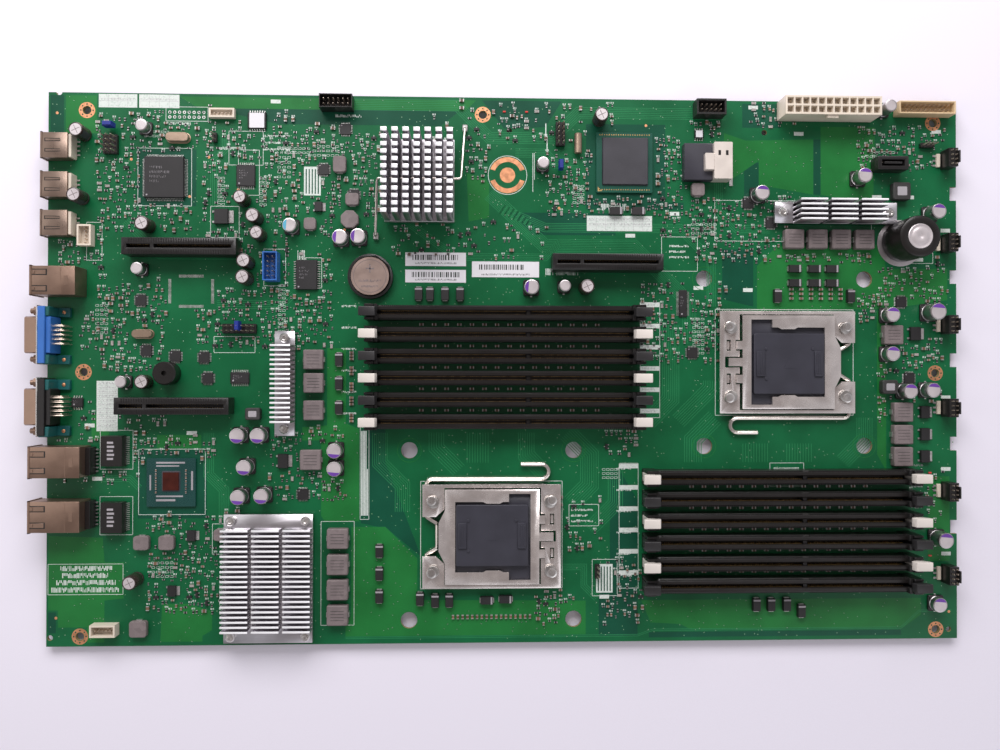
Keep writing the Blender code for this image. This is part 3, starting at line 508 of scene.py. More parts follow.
# ---- finishes --------------------------------------------------------------------------------
def solder_mask(name, colour, look):
    """Cured solder mask over glass cloth: mottled green, faint weave, bare laminate on the edges."""
    shader = Shader(name)
    _, _, height = shader.axes()
    clouds, specks = shader.noise(26.0, 4.0), shader.noise(0.7, 2.0)
    weave = abs(shader.noise(0.45, 0.0, (1.0, 0.08, 1.0)) - 0.5) + abs(shader.noise(0.45, 0.0,
        (0.08, 1.0, 1.0)) - 0.5)
    tone = shader.mix(clouds.ramp(0.3, 0.7), scaled(colour, 0.82), scaled(colour, 1.18))
    tone = shader.mix((specks > 0.66) * 0.3, tone, scaled(colour, 1.5))
    edge = (height < BOARD_HIGH.z - 2e-5) * (height > BOARD_LOW.z + 2e-5)
    layers = shader.noise(0.25, 2.0, (0.04, 0.04, 1.0))
    laminate = shader.mix(layers, scaled(look.laminate_colour, 0.6), scaled(look.laminate_colour, 1.3))
    return shader.finish(
        colour=shader.mix(edge, tone, laminate), roughness=clouds * 0.14 + edge * 0.3 + 0.24,
        normal=shader.bump(weave, 0.03, 0.35), specular=0.3,
    )


def printed_ink(name, colour):
    """Thin ink over the mask: worn thin in places, so that some green shows through."""
    shader = Shader(name)
    thin = shader.noise(0.8, 3.0)
    tone = shader.mix(thin.ramp(0.5, 0.75) * 0.45, colour, (0.16, 0.3, 0.22))
    return shader.finish(colour=tone, roughness=thin * 0.2 + 0.5, normal=shader.bump(thin, 0.01))


def sintered(name, colour, roughness=0.55, contrast=0.25):
    """Pressed powder or fired ceramic: granular grain and a different tone in each neighbourhood."""
    shader = Shader(name)
    grains, patch = shader.noise(0.22, 4.0), shader.cells(3.0)
    tone = shader.mix(patch, scaled(colour, 1 - contrast), scaled(colour, 1 + contrast))
    tone = shader.mix((grains > 0.58) * 0.35, tone, scaled(colour, 0.6))
    return shader.finish(colour=tone, roughness=grains * 0.15 + (roughness - 0.07),
                         normal=shader.bump(grains, 0.02))


def solder_tin(name, colour, roughness=0.28):
    """Tin or solder: bright with frosted patches and a slightly lumpy skin."""
    shader = Shader(name)
    lumps, frost = shader.noise(0.5, 2.0), shader.noise(2.5, 3.0)
    tone = shader.mix(frost.ramp(0.35, 0.65), scaled(colour, 0.8), scaled(colour, 1.1))
    return shader.finish(
        colour=tone, metallic=0.85, roughness=frost * 0.25 + (roughness - 0.1),
        normal=shader.bump(lumps, 0.04)
    )


def drawn_fins(name, colour, tops):
    """Extruded aluminium: long draw lines, and a painted highlight: fin tops above a given height
    painted near white, less metallic and rougher.
    """
    shader = Shader(name)
    _, _, height = shader.axes()
    lines, clouds = shader.noise(1.2, 3.0, (0.06, 1.0, 1.0)), shader.noise(12.0, 2.0)
    # Painted highlight: everything above this height gets a near-white colour, less metal and more
    # roughness.
    cut = height > float(ORIGIN[2] + tops * MM)
    tone = shader.mix(clouds.ramp(0.3, 0.7), scaled(colour, 0.85), scaled(colour, 1.1))
    tone = shader.mix(lines.ramp(0.4, 0.6) * 0.2, tone, scaled(colour, 0.65))
    tone = shader.mix(cut, tone, (0.9, 0.9, 0.92))
    return shader.finish(
        colour=tone, metallic=1 - cut * 0.75, roughness=lines * 0.12 + cut * 0.15 + 0.26,
        normal=shader.bump(lines, 0.01)
    )


def cell_top(name, colour):
    """Coin cell: turned steel, its brushing in rings about the cell's middle."""
    shader = Shader(name)
    middle = (np.array(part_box("battery")[0]) + np.array(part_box("battery")[1])) / 2
    spot = shader.node("ShaderNodeVectorMath", {"operation": "SUBTRACT"},
                       {0: shader.place(), 1: tuple(middle)})
    reach = shader.node("ShaderNodeVectorMath", {"operation": "LENGTH"}, {0: spot}, 1)
    rings = shader.noise(0.25, 2.0, spot=shader.node("ShaderNodeCombineXYZ", {}, {"X": reach}))
    clouds = shader.noise(6.0, 3.0)
    tone = shader.mix(clouds.ramp(0.35, 0.65), scaled(colour, 0.88), scaled(colour, 1.08))
    tone = shader.mix(rings * 0.3, tone, scaled(colour, 0.7))
    return shader.finish(
        colour=tone, metallic=0.75, roughness=rings * 0.12 + clouds * 0.12 + 0.3,
        normal=shader.bump(rings, 0.01)
    )


def paper(name, colour):
    """Label stock: faint fibres and a satin face."""
    shader = Shader(name)
    fibres = shader.noise(0.35, 4.0)
    return shader.finish(
        colour=shader.mix(fibres, scaled(colour, 0.93), scaled(colour, 1.02)),
        roughness=fibres * 0.1 + 0.42, normal=shader.bump(fibres, 0.01),
    )


def die_face(name, colour):
    """Bare silicon: polished, with a slow colour drift from its thin films."""
    shader = Shader(name)
    film, haze = shader.noise(5.0), shader.noise(0.4, 3.0)
    return shader.finish(
        colour=shader.mix(film.ramp(0.3, 0.7), colour, scaled(colour, 1.7)), metallic=0.4,
        roughness=haze * 0.1 + 0.12, normal=shader.bump(haze, 0.002),
    )


def finish_makers(look):
    """Each finish by name: its maker and what it takes."""
    return {
        "mask": (solder_mask, look.mask_colour, look),
        "pour": (solder_mask, look.pour_colour, look),
        "track": (solder_mask, look.track_colour, look),
        "deep": (solder_mask, look.deep_colour, look),
        "ink": (printed_ink, look.ink_colour),
        "black_ink": (printed_ink, (0.02, 0.02, 0.02)),
        "violet_ink": (moulded, (0.13, 0.045, 0.3), 0.35, 0.6),
        "mark_ink": (moulded, (0.32, 0.3, 0.32), 0.5, 0.4),
        "copper": (solder_tin, look.copper_colour, 0.42),
        "tin": (solder_tin, (0.66, 0.65, 0.64)),
        "warm_tin": (solder_tin, (0.62, 0.52, 0.43)),
        "gold": (solder_tin, (0.85, 0.58, 0.24), 0.25),
        "black_plastic": (moulded, (0.011, 0.010, 0.010), 0.34),
        "slot_plastic": (moulded, (0.0095, 0.008, 0.0075), 0.3, 0.4, 0.012),
        "latch_black": (moulded, (0.017, 0.016, 0.017), 0.42),
        "latch_white": (moulded, (0.66, 0.61, 0.56), 0.38, 0.5, 0.01, 0.04),
        "white_nylon": (moulded, (0.66, 0.58, 0.48), 0.4, 0.5, 0.012, 0.05),
        "tan_nylon": (moulded, (0.6, 0.45, 0.27), 0.45, 0.5, 0.012, 0.08),
        "blue_plastic": (moulded, (0.03, 0.13, 0.42), 0.38, 0.5, 0.012, 0.1),
        "deep_blue": (moulded, (0.01, 0.025, 0.22), 0.4),
        "teal_plastic": (moulded, (0.006, 0.085, 0.085), 0.4),
        "cover_plastic": (moulded, (0.03, 0.03, 0.042), 0.46, 0.35, 0.02),
        "slate_plastic": (moulded, (0.035, 0.034, 0.045), 0.42),
        "resin": (moulded, (0.012, 0.011, 0.012), 0.5, 0.3, 0.015),
        "grey_resin": (moulded, (0.035, 0.034, 0.042), 0.5, 0.3, 0.015),
        "substrate": (moulded, (0.006, 0.07, 0.045), 0.3, 0.4, 0.01),
        "dark_substrate": (moulded, (0.008, 0.05, 0.045), 0.28, 0.4, 0.01),
        "die": (die_face, (0.055, 0.012, 0.008)),
        "ferrite": (sintered, (0.175, 0.142, 0.142), 0.6, 0.12),
        "dark_ferrite": (sintered, (0.03, 0.028, 0.028), 0.55),
        "tan_ceramic": (sintered, (0.15, 0.085, 0.05), 0.45, 0.5),
        "resistor_black": (sintered, (0.018, 0.017, 0.018), 0.35),
        "grey_ceramic": (sintered, (0.3, 0.27, 0.25), 0.4),
        "red_lens": (moulded, (0.6, 0.06, 0.05), 0.25),
        "sleeve": (moulded, (0.03, 0.018, 0.016), 0.28, 0.6, 0.01, 0.2),
        "sky_sleeve": (moulded, (0.09, 0.36, 0.5), 0.35),
        "can": (sheet_metal, (0.56, 0.53, 0.54), 0.36, (1.0, 1.0, 14.0), 1.5),
        "can_top": (sheet_metal, (0.62, 0.57, 0.58), 0.4, (1.0, 1.0, 1.0), 3.0, 0.004, 0.08, 0.5),
        "nickel": (sheet_metal, look.nickel_colour, 0.26, (1.0, 9.0, 9.0), 1.8, 0.005, 0.1, 0.88),
        "wire": (sheet_metal, (0.6, 0.55, 0.5), 0.2, (0.5, 3.0, 3.0), 1.0, 0.003),
        "port_metal": (sheet_metal, (0.3, 0.2, 0.15), 0.36, (1.0, 7.0, 7.0), 1.4, 0.006, 0.1, 0.85),
        "usb_metal": (sheet_metal, (0.3, 0.22, 0.175), 0.33, (7.0, 1.0, 7.0), 1.4, 0.006, 0.1, 0.85),
        "bright_metal": (sheet_metal, (0.78, 0.76, 0.74), 0.28),
        "plate_steel": (sheet_metal, (0.5, 0.48, 0.46), 0.35),
        "crystal_steel": (sheet_metal, (0.42, 0.31, 0.23), 0.34, (9.0, 1.0, 9.0), 1.5, 0.004, 0.1, 0.8),
        "cage_metal": (sheet_metal, (0.7, 0.63, 0.57), 0.4, (1.0, 1.0, 1.0), 3.0, 0.004, 0.04, 0.3),
        "cell": (cell_top, (0.4, 0.3, 0.26)),
        "label": (paper, (0.68, 0.67, 0.7)),
        "floor": (paper, look.floor_colour),
    } | {
        # Each heatsink's fins are painted near white from a set depth below its top upward, as a
        # painted highlight on the fin tops.
        f"{node}_fins": (drawn_fins, (0.6, 0.58, 0.61), plan_box(node)[1][2] - highlight_depth)
        for node, highlight_depth in FIN_TOPS.items()
    }


# How far below each heatsink's top, in millimetres, its fins are painted near white as a highlight.
FIN_TOPS = {"pin_heatsink": 0.1, "side_heatsink": 0.5, "large_heatsink": 0.5, "regulator_heatsink": 0.5}
made_finishes = {}


def coat(name):
    """The finish of that name, made when it is first asked for."""
    if name not in made_finishes:
        maker, *values = finish_makers(bpy.context.scene.board_look)[name]
        made_finishes[name] = maker(name, *values)
    return made_finishes[name]


# ---- the board's own surface -----------------------------------------------------------------
BRIGHT_ZONES = (
    ((9, 290), (25, 290), (25, 279), (27, 270), (9, 270)),
    ((68, 290), (225, 290), (219, 284), (78, 284)),
    ((359, 274), (371, 270), (408, 271), (408, 241), (378, 246), (378, 259), (359, 246)),
    ((412, 278), (442, 278), (441, 236), (412, 241)),
    ((388, 213), (446, 214), (448, 201), (482, 201), (482, 184), (448, 179), (377, 178), (377, 202)),
    ((159, 62), (177, 62), (194, 45), (194, 23), (284, 22), (284, 4), (156, 4), (156, 11), (159, 15)),
    ((146, 157), (156, 157), (156, 117), (163, 114), (163, 65), (145, 65), (143, 68), (143, 108),
     (133, 108),
     (133, 115), (146, 116)),
    ((1, 58), (29, 57), (30, 44), (40, 44), (40, 25), (30, 24), (30, 2), (21, 2), (21, 10), (6, 10),
     (6, 19), (1, 19)),
    ((60, 22), (73, 22), (86, 18), (86, 8), (81, 5), (81, 2), (59, 2)),
    ((314, 22), (467, 22), (467, 13), (457, 6), (341, 6), (335, 9), (319, 10)),
    ((220, 251), (230, 248), (232, 245), (232, 227), (221, 225)),
    ((57, 111), (80, 111), (80, 104), (57, 104)),
    ((23, 122), (32, 122), (32, 109), (23, 109)),
    ((443, 178), (448, 178), (448, 91), (443, 100)),
    ((471, 88), (483, 88), (483, 42), (471, 42)),
)
DEEP_ZONES = (
    ((1, 290), (8, 290), (8, 270), (1, 270)),
    ((1, 18), (5, 18), (5, 7), (1, 7)),
    ((164, 114), (177, 114), (177, 96), (196, 46), (178, 61), (164, 64)),
    ((297, 92), (302, 92), (312, 76), (312, 3), (291, 3), (291, 24), (297, 40)),
    ((258, 22), (272, 22), (272, 9), (258, 9)),
    ((390, 290), (369, 290), (369, 277), (390, 277)),
    ((370, 258), (378, 258), (378, 238), (370, 238)),
    ((358, 211), (375, 211), (375, 180), (358, 184)),
    ((284, 278), (327, 278), (327, 236), (284, 236)),
    ((408, 271), (412, 271), (412, 241), (408, 241)),
    ((46, 262), (77, 262), (77, 232), (46, 232)),
    ((47, 103), (83, 103), (83, 67), (47, 67)),
    ((228, 290), (240, 275), (262, 276), (271, 290)),
    ((284, 236), (337, 236), (337, 232), (284, 232)),
    ((243, 230), (300, 230), (300, 218), (255, 218)),
    ((84, 284), (216, 284), (206, 276), (120, 276)),
    ((318, 4.8), (456, 4.8), (456, 2), (318, 2)),
)
MOUNT_HOLES = ((19.9, 282.2), (228.5, 282.3), (474.1, 280.6), (18.7, 144.1), (475.2, 144.2),
               (17.4, 5.2), (475.2, 4.9))
HOLE_RADIUS = 2.1
FIDUCIALS = ((4.5, 280.5), (5.0, 15.0), (482.5, 14.5), (43.0, 256.5), (83.5, 258.0), (73.5, 237.0),
             (99.0, 241.0),
             (316.5, 277.5), (269.5, 232.5), (62.0, 103.5), (96.0, 77.5), (155.0, 220.0))
COPPER_MARK = (241.8, 250.0)
DIMM_ROWS = (175.47, 164.04, 152.61, 141.18, 129.75, 118.32)
BANK_B_ROWS = (88.68, 77.25, 65.82, 54.39, 42.96, 31.53)


def offset_path(path, aside):
    """The path moved aside: each point goes along its mitre, the two edge normals' sum over one plus
    their dot product."""
    path = np.asarray(path, float)
    ahead = np.diff(path, axis=0)
    ahead /= np.linalg.norm(ahead, axis=1)[:, None]
    side = np.column_stack((-ahead[:, 1], ahead[:, 0]))
    before, after = np.vstack((side[:1], side)), np.vstack((side, side[-1:]))
    mitre = (before + after) / (1 + np.einsum("ij,ij->i", before, after))[:, None]
    return path + aside * mitre


def ribbon(path, width, low=0.0, high=INK_LIFT):
    """Flat strip along a plan path: its low and high edges are the path moved half a width each way."""
    left, right = offset_path(path, width / 2), offset_path(path, -width / 2)
    rings = np.empty((len(left), 4, 3))
    for column, (edge, height) in enumerate(((left, high), (left, low), (right, low), (right, high))):
        rings[:, column, :2], rings[:, column, 2] = edge, height
    return outward(skin(rings))


def frame_lines(x0, y0, x1, y1, width=0.25):
    """Printed rectangle of four strips."""
    corners = np.array(((x0, y0), (x1, y0), (x1, y1), (x0, y1), (x0, y0)), float)
    return joined([ribbon(corners[k:k + 2], width) for k in range(4)])


def bundle(path, count, pitch, width=0.32, high=0.035):
    """Tracks side by side: ribbons along the path moved aside by even steps."""
    return joined([ribbon(offset_path(path, aside), width, 0.0, high) for aside in spread(count,
        pitch)])


class OccupiedPlan:
    """Which half millimetres of the board already carry something."""

    cell = 0.5

    def __init__(self):
        self.cells = np.zeros((int(BOARD_LENGTH / self.cell) + 2, int(BOARD_WIDTH / self.cell) + 2),
                              bool)

    def span(self, low, high):
        first = np.maximum(np.floor(np.array(low[:2]) / self.cell).astype(int), 0)
        last = np.maximum(np.ceil(np.array(high[:2]) / self.cell).astype(int), 0)
        return slice(first[0], last[0]), slice(first[1], last[1])

    def fill(self, low, high):
        self.cells[self.span(low, high)] = True

    def fill_round(self, places, length, width=None):
        half = np.array((length, width or length)) / 2
        for place in np.atleast_2d(places):
            self.fill(place[:2] - half, place[:2] + half)

    def take(self, x, y, length, width):
        """Takes a rectangle about (x, y) if it is free and on the board."""
        if not (1 < x < BOARD_LENGTH - 1 and 1 < y < BOARD_WIDTH - 1):
            return False
        window = self.span((x - length / 2, y - width / 2), (x + length / 2, y + width / 2))
        if self.cells[window].any():
            return False
        self.cells[window] = True
        return True


plan = OccupiedPlan()


def with_hole(outline, edge, spot, radius):
    """Outline with a round hole under one edge, joined to that edge by a hairline slit."""
    (x0, y0), (x1, y1) = outline[edge], outline[edge + 1]
    way = math.copysign(0.02, x1 - x0)
    reach = y0 + (spot[0] - x0) / (x1 - x0) * (y1 - y0)
    angle = np.radians(np.linspace(90.0, 450.0, 33))
    rim = np.column_stack((spot[0] + radius * np.cos(angle), spot[1] + radius * np.sin(angle)))
    rim[[0, -1], 0] += (-way, way)
    inner = [(spot[0] - way, reach), *map(tuple, rim.tolist()), (spot[0] + way, reach)]
    return (*outline[:edge + 1], *inner, *outline[edge + 1:])


def make_board_surface():
    """Mask, coloured copper areas, tracks, ringed holes and bare copper marks."""
    paint("pcb", "mask")
    bright = list(BRIGHT_ZONES)
    holes = cooler_holes()
    bright[0] = with_hole(bright[0], 0, MOUNT_HOLES[0], HOLE_RADIUS + 2.2)

    def nearest(x, y):
        return holes[np.argmin(np.hypot(*(holes - (x, y)).T))]

    bright[4] = with_hole(bright[4], 0, nearest(436, 195), 4.5)
    bright[5] = with_hole(bright[5], 3, nearest(277, 12), 4.5)
    bright[5] = with_hole(bright[5], 3, nearest(190, 12), 4.5)
    for name, outlines, high, finish_name in (
        ("bright_copper_zones", bright, 0.03, "pour"), ("dark_laminate_zones", DEEP_ZONES, 0.02, "deep")
    ):
        shapes = [outward(extruded(outline, 0.0, high)) for outline in outlines]
        make_piece(name, shapes, finish_name)

    tracks = (
        (((160, 287), (215, 287), (232, 270), (266, 270), (280, 284), (360, 284)), 7, 0.95),
        (((232, 240), (262, 212), (310, 212), (340, 182), (340, 160)), 9, 0.9),
        (((238, 232), (262, 222), (335, 222), (352, 205), (352, 180)), 6, 0.9),
        (((186, 226), (214, 206), (262, 206), (270, 214), (276, 214)), 5, 0.9),
        (((174, 112), (174, 96), (186, 84), (186, 70)), 8, 1.1),
        (((204, 112), (204, 104), (216, 92)), 7, 1.3),
        (((226, 112), (226, 96)), 9, 1.4),
        (((252, 112), (252, 100), (262, 90)), 8, 1.2),
        (((274, 112), (286, 100), (286, 84), (276, 74)), 9, 1.2),
        (((318, 118), (330, 130), (330, 170)), 9, 1.1),
        (((334, 118), (352, 136), (352, 140)), 8, 1.2),
        (((342, 96), (342, 108), (354, 120)), 8, 1.3),
        (((376, 96), (376, 106)), 10, 1.5),
        (((400, 96), (400, 106)), 10, 1.5),
        (((424, 96), (436, 108), (436, 120)), 8, 1.2),
        (((286, 60), (300, 74), (300, 92)), 8, 1.1),
        (((266, 40), (283, 40), (283, 30), (290, 23)), 4, 1.0),
        (((88, 180), (122, 180), (128, 186)), 5, 1.0),
        (((84, 112), (84, 90), (92, 82), (92, 60)), 6, 1.0),
        (((29, 88), (43, 88), (48, 83)), 4, 1.0),
        (((156, 3.2), (312, 3.2), (320, 6), (456, 6), (466, 15), (484, 15)), 2, 0.8),
        (((40, 224), (58, 206), (98, 206)), 5, 1.0),
        (((86, 232), (86, 256), (92, 262), (92, 272)), 4, 1.0),
        (((246, 262), (262, 262), (268, 256), (280, 256)), 6, 0.9),
        (((356, 262), (356, 232), (366, 222), (384, 222)), 5, 1.0),
    )  # path, number of tracks, pitch
    make_piece("signal_tracks", [bundle(*row) for row in tracks], "track")

    ring = ring_plate(4.25, HOLE_RADIUS + 0.15, 0.0, INK_LIFT, 40)
    make_piece("hole_rings", [copies(ring, MOUNT_HOLES)], "copper")
    pads = disc(3.2, 8)
    dot = turned(((0.0, 0.42), (INK_LIFT + 0.05, 0.42)), 8)
    make_piece("hole_ring_vias", [copies(dot, np.add(place, pads)) for place in MOUNT_HOLES], "deep")
    arcs = [
        ring_plate(9.7, 7.1, 0.0, INK_LIFT, 40, math.radians(start),
                   math.radians(start + 142)) for start in (19, 199)
    ]
    arcs.append(turned(((0.0, 4.1), (INK_LIFT, 4.1)), 40))
    make_piece("copper_mark", [shifted(arc, COPPER_MARK) for arc in arcs], "copper")
    make_piece("fiducials", [copies(turned(((0.0, 0.75), (INK_LIFT, 0.75)), 14), FIDUCIALS)], "copper")
    plan.fill_round(MOUNT_HOLES, 9)
    plan.fill_round((COPPER_MARK,), 21)
    plan.fill_round(cooler_holes(), 13.5)


def cooler_holes():
    """The four large holes round each socket, from the sockets' own boxes."""
    return np.concatenate([
        plan_centre(f"socket_frame_{letter}")[:2] + grid(2, 2, 87.8, 90.4) for letter in "ab"
    ])


# ---- printing --------------------------------------------------------------------------------
def scribble(x, y, length, height, seed, stroke=0.32):
    """Stand-in for a line of printing: upright strokes of uneven height and spacing, no letters."""
    random = np.random.default_rng(seed)
    count = max(2, int(length / 0.75))
    tall = height * random.choice((0.55, 0.8, 1.0), count)
    across = x + (np.arange(count) + 0.5) * length / count
    low = y + (height - tall) * random.choice((0.0, 1.0), count)
    stroke_shape = slab((-0.5, 0, 0), (0.5, 1, INK_LIFT))
    points = stroke_shape[0][None] * np.column_stack((
        np.full(count, stroke) * random.choice((1.0, 1.7), count), tall, np.ones(count)
    ))[:, None]
    points = points + np.column_stack((across, low, np.zeros(count)))[:, None]
    starts = np.arange(count)[:, None, None] * len(stroke_shape[0])
    return points.reshape(-1, 3), [(group + starts).reshape(-1,
        group.shape[1]) for group in stroke_shape[1]]


def make_printing():
    """White and dark printing: filled boxes, frames, strokes, pads and the stuck-on labels."""
    ink, dark = [], []
    for x0, y0, x1, y1 in ((26, 283.8, 46, 290.9), (47, 283.8, 68, 290.9), (25.5, 113, 36.5, 139.5),
                           (284.5, 220.4, 319.8, 228.6)):
        ink.append(slab((x0, y0, 0), (x1, y1, 0.045)))
        plan.fill((x0, y0), (x1, y1))
        lines = np.linspace(y0, y1, max(3, int((y1 - y0) / 1.9)))[1:-1]
        dark += [ribbon(((x0 + 0.3, y), (x1 - 0.3, y)), 0.12, 0.045, 0.065) for y in lines]
        posts = np.linspace(x0, x1, max(3, int((x1 - x0) / 4)))[1:-1]
        dark += [ribbon(((x, y0 + 0.3), (x, y1 - 0.3)), 0.1, 0.045, 0.065) for x in posts]
        dark += [shifted(scribble(x0 + 1, y + 0.5, (x1 - x0) - 2, 1.0, int(y * 10), 0.2),
                         (0, 0, 0.01)) for y in lines]
    ink += [slab((313.4, y - 1.2, 0), (323.8, y + 1.2, 0.045)) for y in np.array(DIMM_ROWS) + 5.3]
    ink += [slab((302.0, y - 1.2, 0), (312.3, y + 1.2, 0.045)) for y in np.array(BANK_B_ROWS) + 5.3]
    ink += [slab((x - 2.6, y - 1.0, 0), (x + 2.6, y + 1.0, 0.045)) for x, y in (
        (26, 88), (34, 107), (118.5, 288), (332, 230), (345, 190), (375, 288), (400, 274), (452, 288),
        (443, 240),
        (461, 240), (466, 206), (481, 222), (481, 168), (481, 131), (481, 92), (481, 46), (75, 112),
        (294, 24),
        (308, 218), (372, 189), (476, 276), (22, 116), (300, 205))]
    ink += [frame_lines(*corners) for corners in (
        (0.8, 27.2, 39.6, 43.2), (46.5, 262.5, 74.5, 232.0), (132.2, 189.0, 143.0, 205.0),
        (61, 284.5, 83, 277),
        (27.5, 58.5, 44.5, 78.6), (27.5, 93, 44.5, 113.5), (47.5, 69.0, 82.2, 103.5),
        (302, 28.5, 312.3, 95.5),
        (313.4, 120, 324, 182.0), (287.5, 24.5, 301, 44), (325, 199, 344.5, 217.5),
        (275, 62, 291, 73.5),
        (384, 83, 402.5, 95.5), (163.6, 66.0, 168.2, 115), (86, 48, 97, 64), (84.5, 215.5, 99.5, 232),
        (86.5, 154.5, 108, 163), (112.5, 190, 124, 209.5), (99, 238, 110, 262), (450, 204, 474, 210),
        (354, 215.5, 440, 237.5), (20, 203, 28, 223), (94, 254, 112, 272), (143, 10, 160.5, 65))]
    for x, y, columns, rows, pitch in ((28, 172, 3, 7, 2.4), (56, 270, 6, 2, 2.2), (90, 240, 2, 8, 2.0),
                                       (112, 240, 2, 8, 2.0),
                                       (123, 257, 3, 8, 2.6), (122, 178, 2, 12, 2.2),
                                       (128, 262, 8, 2, 2.2),
                                       (31, 132, 2, 4, 2.4), (145, 262, 6, 3, 2.4),
                                       (345, 164, 3, 9, 2.3),
                                       (348, 222, 6, 3, 2.4), (60, 40, 5, 4, 2.4), (93, 30, 3, 8, 2.4),
                                       (297, 90, 4, 3, 2.2), (280, 240, 3, 5, 2.2),
                                       (446, 262, 6, 3, 2.4)):
        boxes = joined([slab((-0.8, -0.55, 0), (0.8, -0.4, 0.05)),
                        slab((-0.8, 0.4, 0), (0.8, 0.55, 0.05)),
                        slab((-0.85, -0.4, 0), (-0.7, 0.4, 0.05)),
                        slab((0.7, -0.4, 0), (0.85, 0.4, 0.05))])
        ink.append(copies(boxes, grid(columns, rows, pitch, pitch) + (x, y)))
    pads = ((133.5, 238.2), (289.6, 26.2))
    ink += [slab((x0, y0, 0), (x0 + 8.9, y0 + 15.3, 0.05)) for x0, y0 in pads]
    stripes = [slab((x0 + 0.9 + step, y0 + 0.9, 0.05), (x0 + 1.5 + step, y0 + 14, 0.11))
               for x0, y0 in pads for step in (0, 1.6, 3.2, 4.8, 6.4)]
    make_piece("striped_pads", stripes, "deep")
    for x0, y0 in pads:
        plan.fill((x0, y0), (x0 + 8.9, y0 + 15.3))
    for x, y, length, height, seed in (
        (7, 39.6, 27, 2.6, 1), (8, 35.9, 24, 2.6, 2), (5, 32.2, 31, 2.6, 3), (2.5, 28.4, 35, 2.6, 4),
        (150, 280, 14, 1.5, 5), (89, 262, 14, 1.6, 6), (329, 212, 11, 1.1, 7), (329, 209, 9, 1.1, 18),
        (329, 206, 11, 1.1, 19), (276, 70, 12, 1.1, 8), (276, 67, 9, 1.1, 28), (276, 64, 12, 1.1, 29),
        (386, 92, 14, 1.1, 9), (386, 89, 10, 1.1, 38), (386, 86, 14, 1.1, 39),
        (112, 269, 14, 1.1, 10), (112, 265.5, 9, 1.1, 48), (112, 262, 14, 1.1, 49),
        (262, 262, 1.4, 16, 11), (255, 236, 1.6, 26, 12), (164, 68, 3.8, 45, 13),
        (292, 231.5, 14, 3.6, 14), (262, 196.5, 18, 3.5, 15), (130, 200, 5, 9, 16),
        (60, 275, 14, 1.4, 17)):
        ink.append(scribble(x, y, length, height, seed))
    for rows, x0 in ((DIMM_ROWS, 171.5), (BANK_B_ROWS, 318.5)):
        for number, y in enumerate(rows):
            ink.append(scribble(x0 - 18, y + 3.4, 8, 1.1, 40 + number))
            dark.append(scribble(x0 + 143, y + 4.8, 7, 1.1, 60 + number, 0.2))
    ring = ring_plate(6.5, 6.2, 0.0, 0.05, 40)
    ink.append(copies(ring_plate(10.5, 10.2, 0.0, 0.05, 56), (COPPER_MARK,)))
    make_piece("cooler_hole_rings", [copies(ring, cooler_holes())], "pour")
    for letter in "ab":
        low, high = plan_box(f"socket_frame_{letter}")
        ink.append(frame_lines(low[0] - 1.2, low[1] - 1.2, high[0] + 1.2, high[1] + 1.2, 0.3))
    make_piece("white_printing", ink, "ink")
    make_piece("label_printing", dark, "mark_ink")

    stickers = ((187.3, 201.0, 219.6, 208.2), (187.3, 192.2, 219.6, 199.0),
                (222.8, 195.2, 258.8, 203.6))
    make_piece("barcode_labels", [slab((x0, y0, 0), (x1, y1, 0.16)) for x0, y0, x1, y1 in stickers],
               "label")
    bars = []
    random = np.random.default_rng(7)
    for x0, y0, x1, y1 in stickers:
        edges = np.cumsum(random.choice((0.3, 0.5, 0.8), 48)) + x0 + 3
        edges = edges[edges < x1 - 3]
        high = y1 - (1.2 if x1 - x0 < 33 else 1.6)
        bars += [slab((a, high - 2.8, 0.15), (b, high, 0.19)) for a, b in zip(edges[::2], edges[1::2])]
        bars.append(shifted(scribble(x0 + 5, y0 + 1.0, x1 - x0 - 10, 1.0, int(x0), 0.22), (0, 0, 0.14)))
    make_piece("barcode_bars", bars, "black_ink")


# ---- small parts -----------------------------------------------------------------------------
def chip_part(length, width, height, end):
    """Ceramic body between two tinned ends: (body, ends) shapes lying along X on the board."""
    body = slab((-length / 2 + end, -width / 2, 0.02), (length / 2 - end, width / 2, height))
    ends = [slab((x - end / 2, -width / 2 - 0.03, 0), (x + end / 2, width / 2 + 0.03, height + 0.03))
            for x in (-length / 2 + end / 2, length / 2 - end / 2)]
    return body, joined(ends)


PART_KINDS = {
    "resistor": ((1.7, 0.9, 0.45, 0.32), "resistor_black"),
    "capacitor": ((1.8, 1.0, 0.85, 0.4), "tan_ceramic"),
    "large_capacitor": ((2.4, 1.5, 1.2, 0.5), "tan_ceramic"),
    "small_resistor": ((1.25, 0.7, 0.4, 0.26), "resistor_black"),
    "array": ((2.4, 1.3, 0.6, 0.3), "grey_ceramic"),
}
DENSE_AREAS = (
    (25, 73, 217, 281, 150), (81, 126, 204, 283, 130), (127, 172, 217, 273, 170), (5, 28, 182, 221, 60),
    (28, 60, 145, 190, 110), (6, 31, 156, 173, 30), (77, 132, 158, 188, 110), (108, 148, 156, 204, 100),
    (116, 156, 76, 113, 90), (4, 25, 113, 129, 26), (41, 87, 97, 108, 36), (52, 100, 17, 68, 170),
    (220, 234, 246, 265, 22), (263, 293, 228, 262, 60), (322, 336, 233, 270, 34),
    (293, 325, 228, 238, 20),
    (341, 395, 204, 238, 110), (314, 357, 150, 193, 120), (341, 357, 273, 286, 20),
    (432, 480, 254, 278, 60),
    (432, 453, 172, 193, 34), (443, 477, 118, 166, 90), (255, 277, 9, 25, 30), (293, 314, 9, 44, 30),
    (269, 293, 44, 76, 14), (6, 60, 85, 125, 40), (180, 225, 206, 226, 30), (295, 312, 100, 116, 14),
    (325, 345, 218, 240, 26), (395, 440, 204, 212, 26), (455, 480, 60, 100, 14),
    (200, 300, 268, 288, 40),
    (372, 400, 275, 289, 18), (225, 265, 205, 225, 16), (45, 85, 262, 283, 50),
    (443, 480, 183, 214, 40),
)


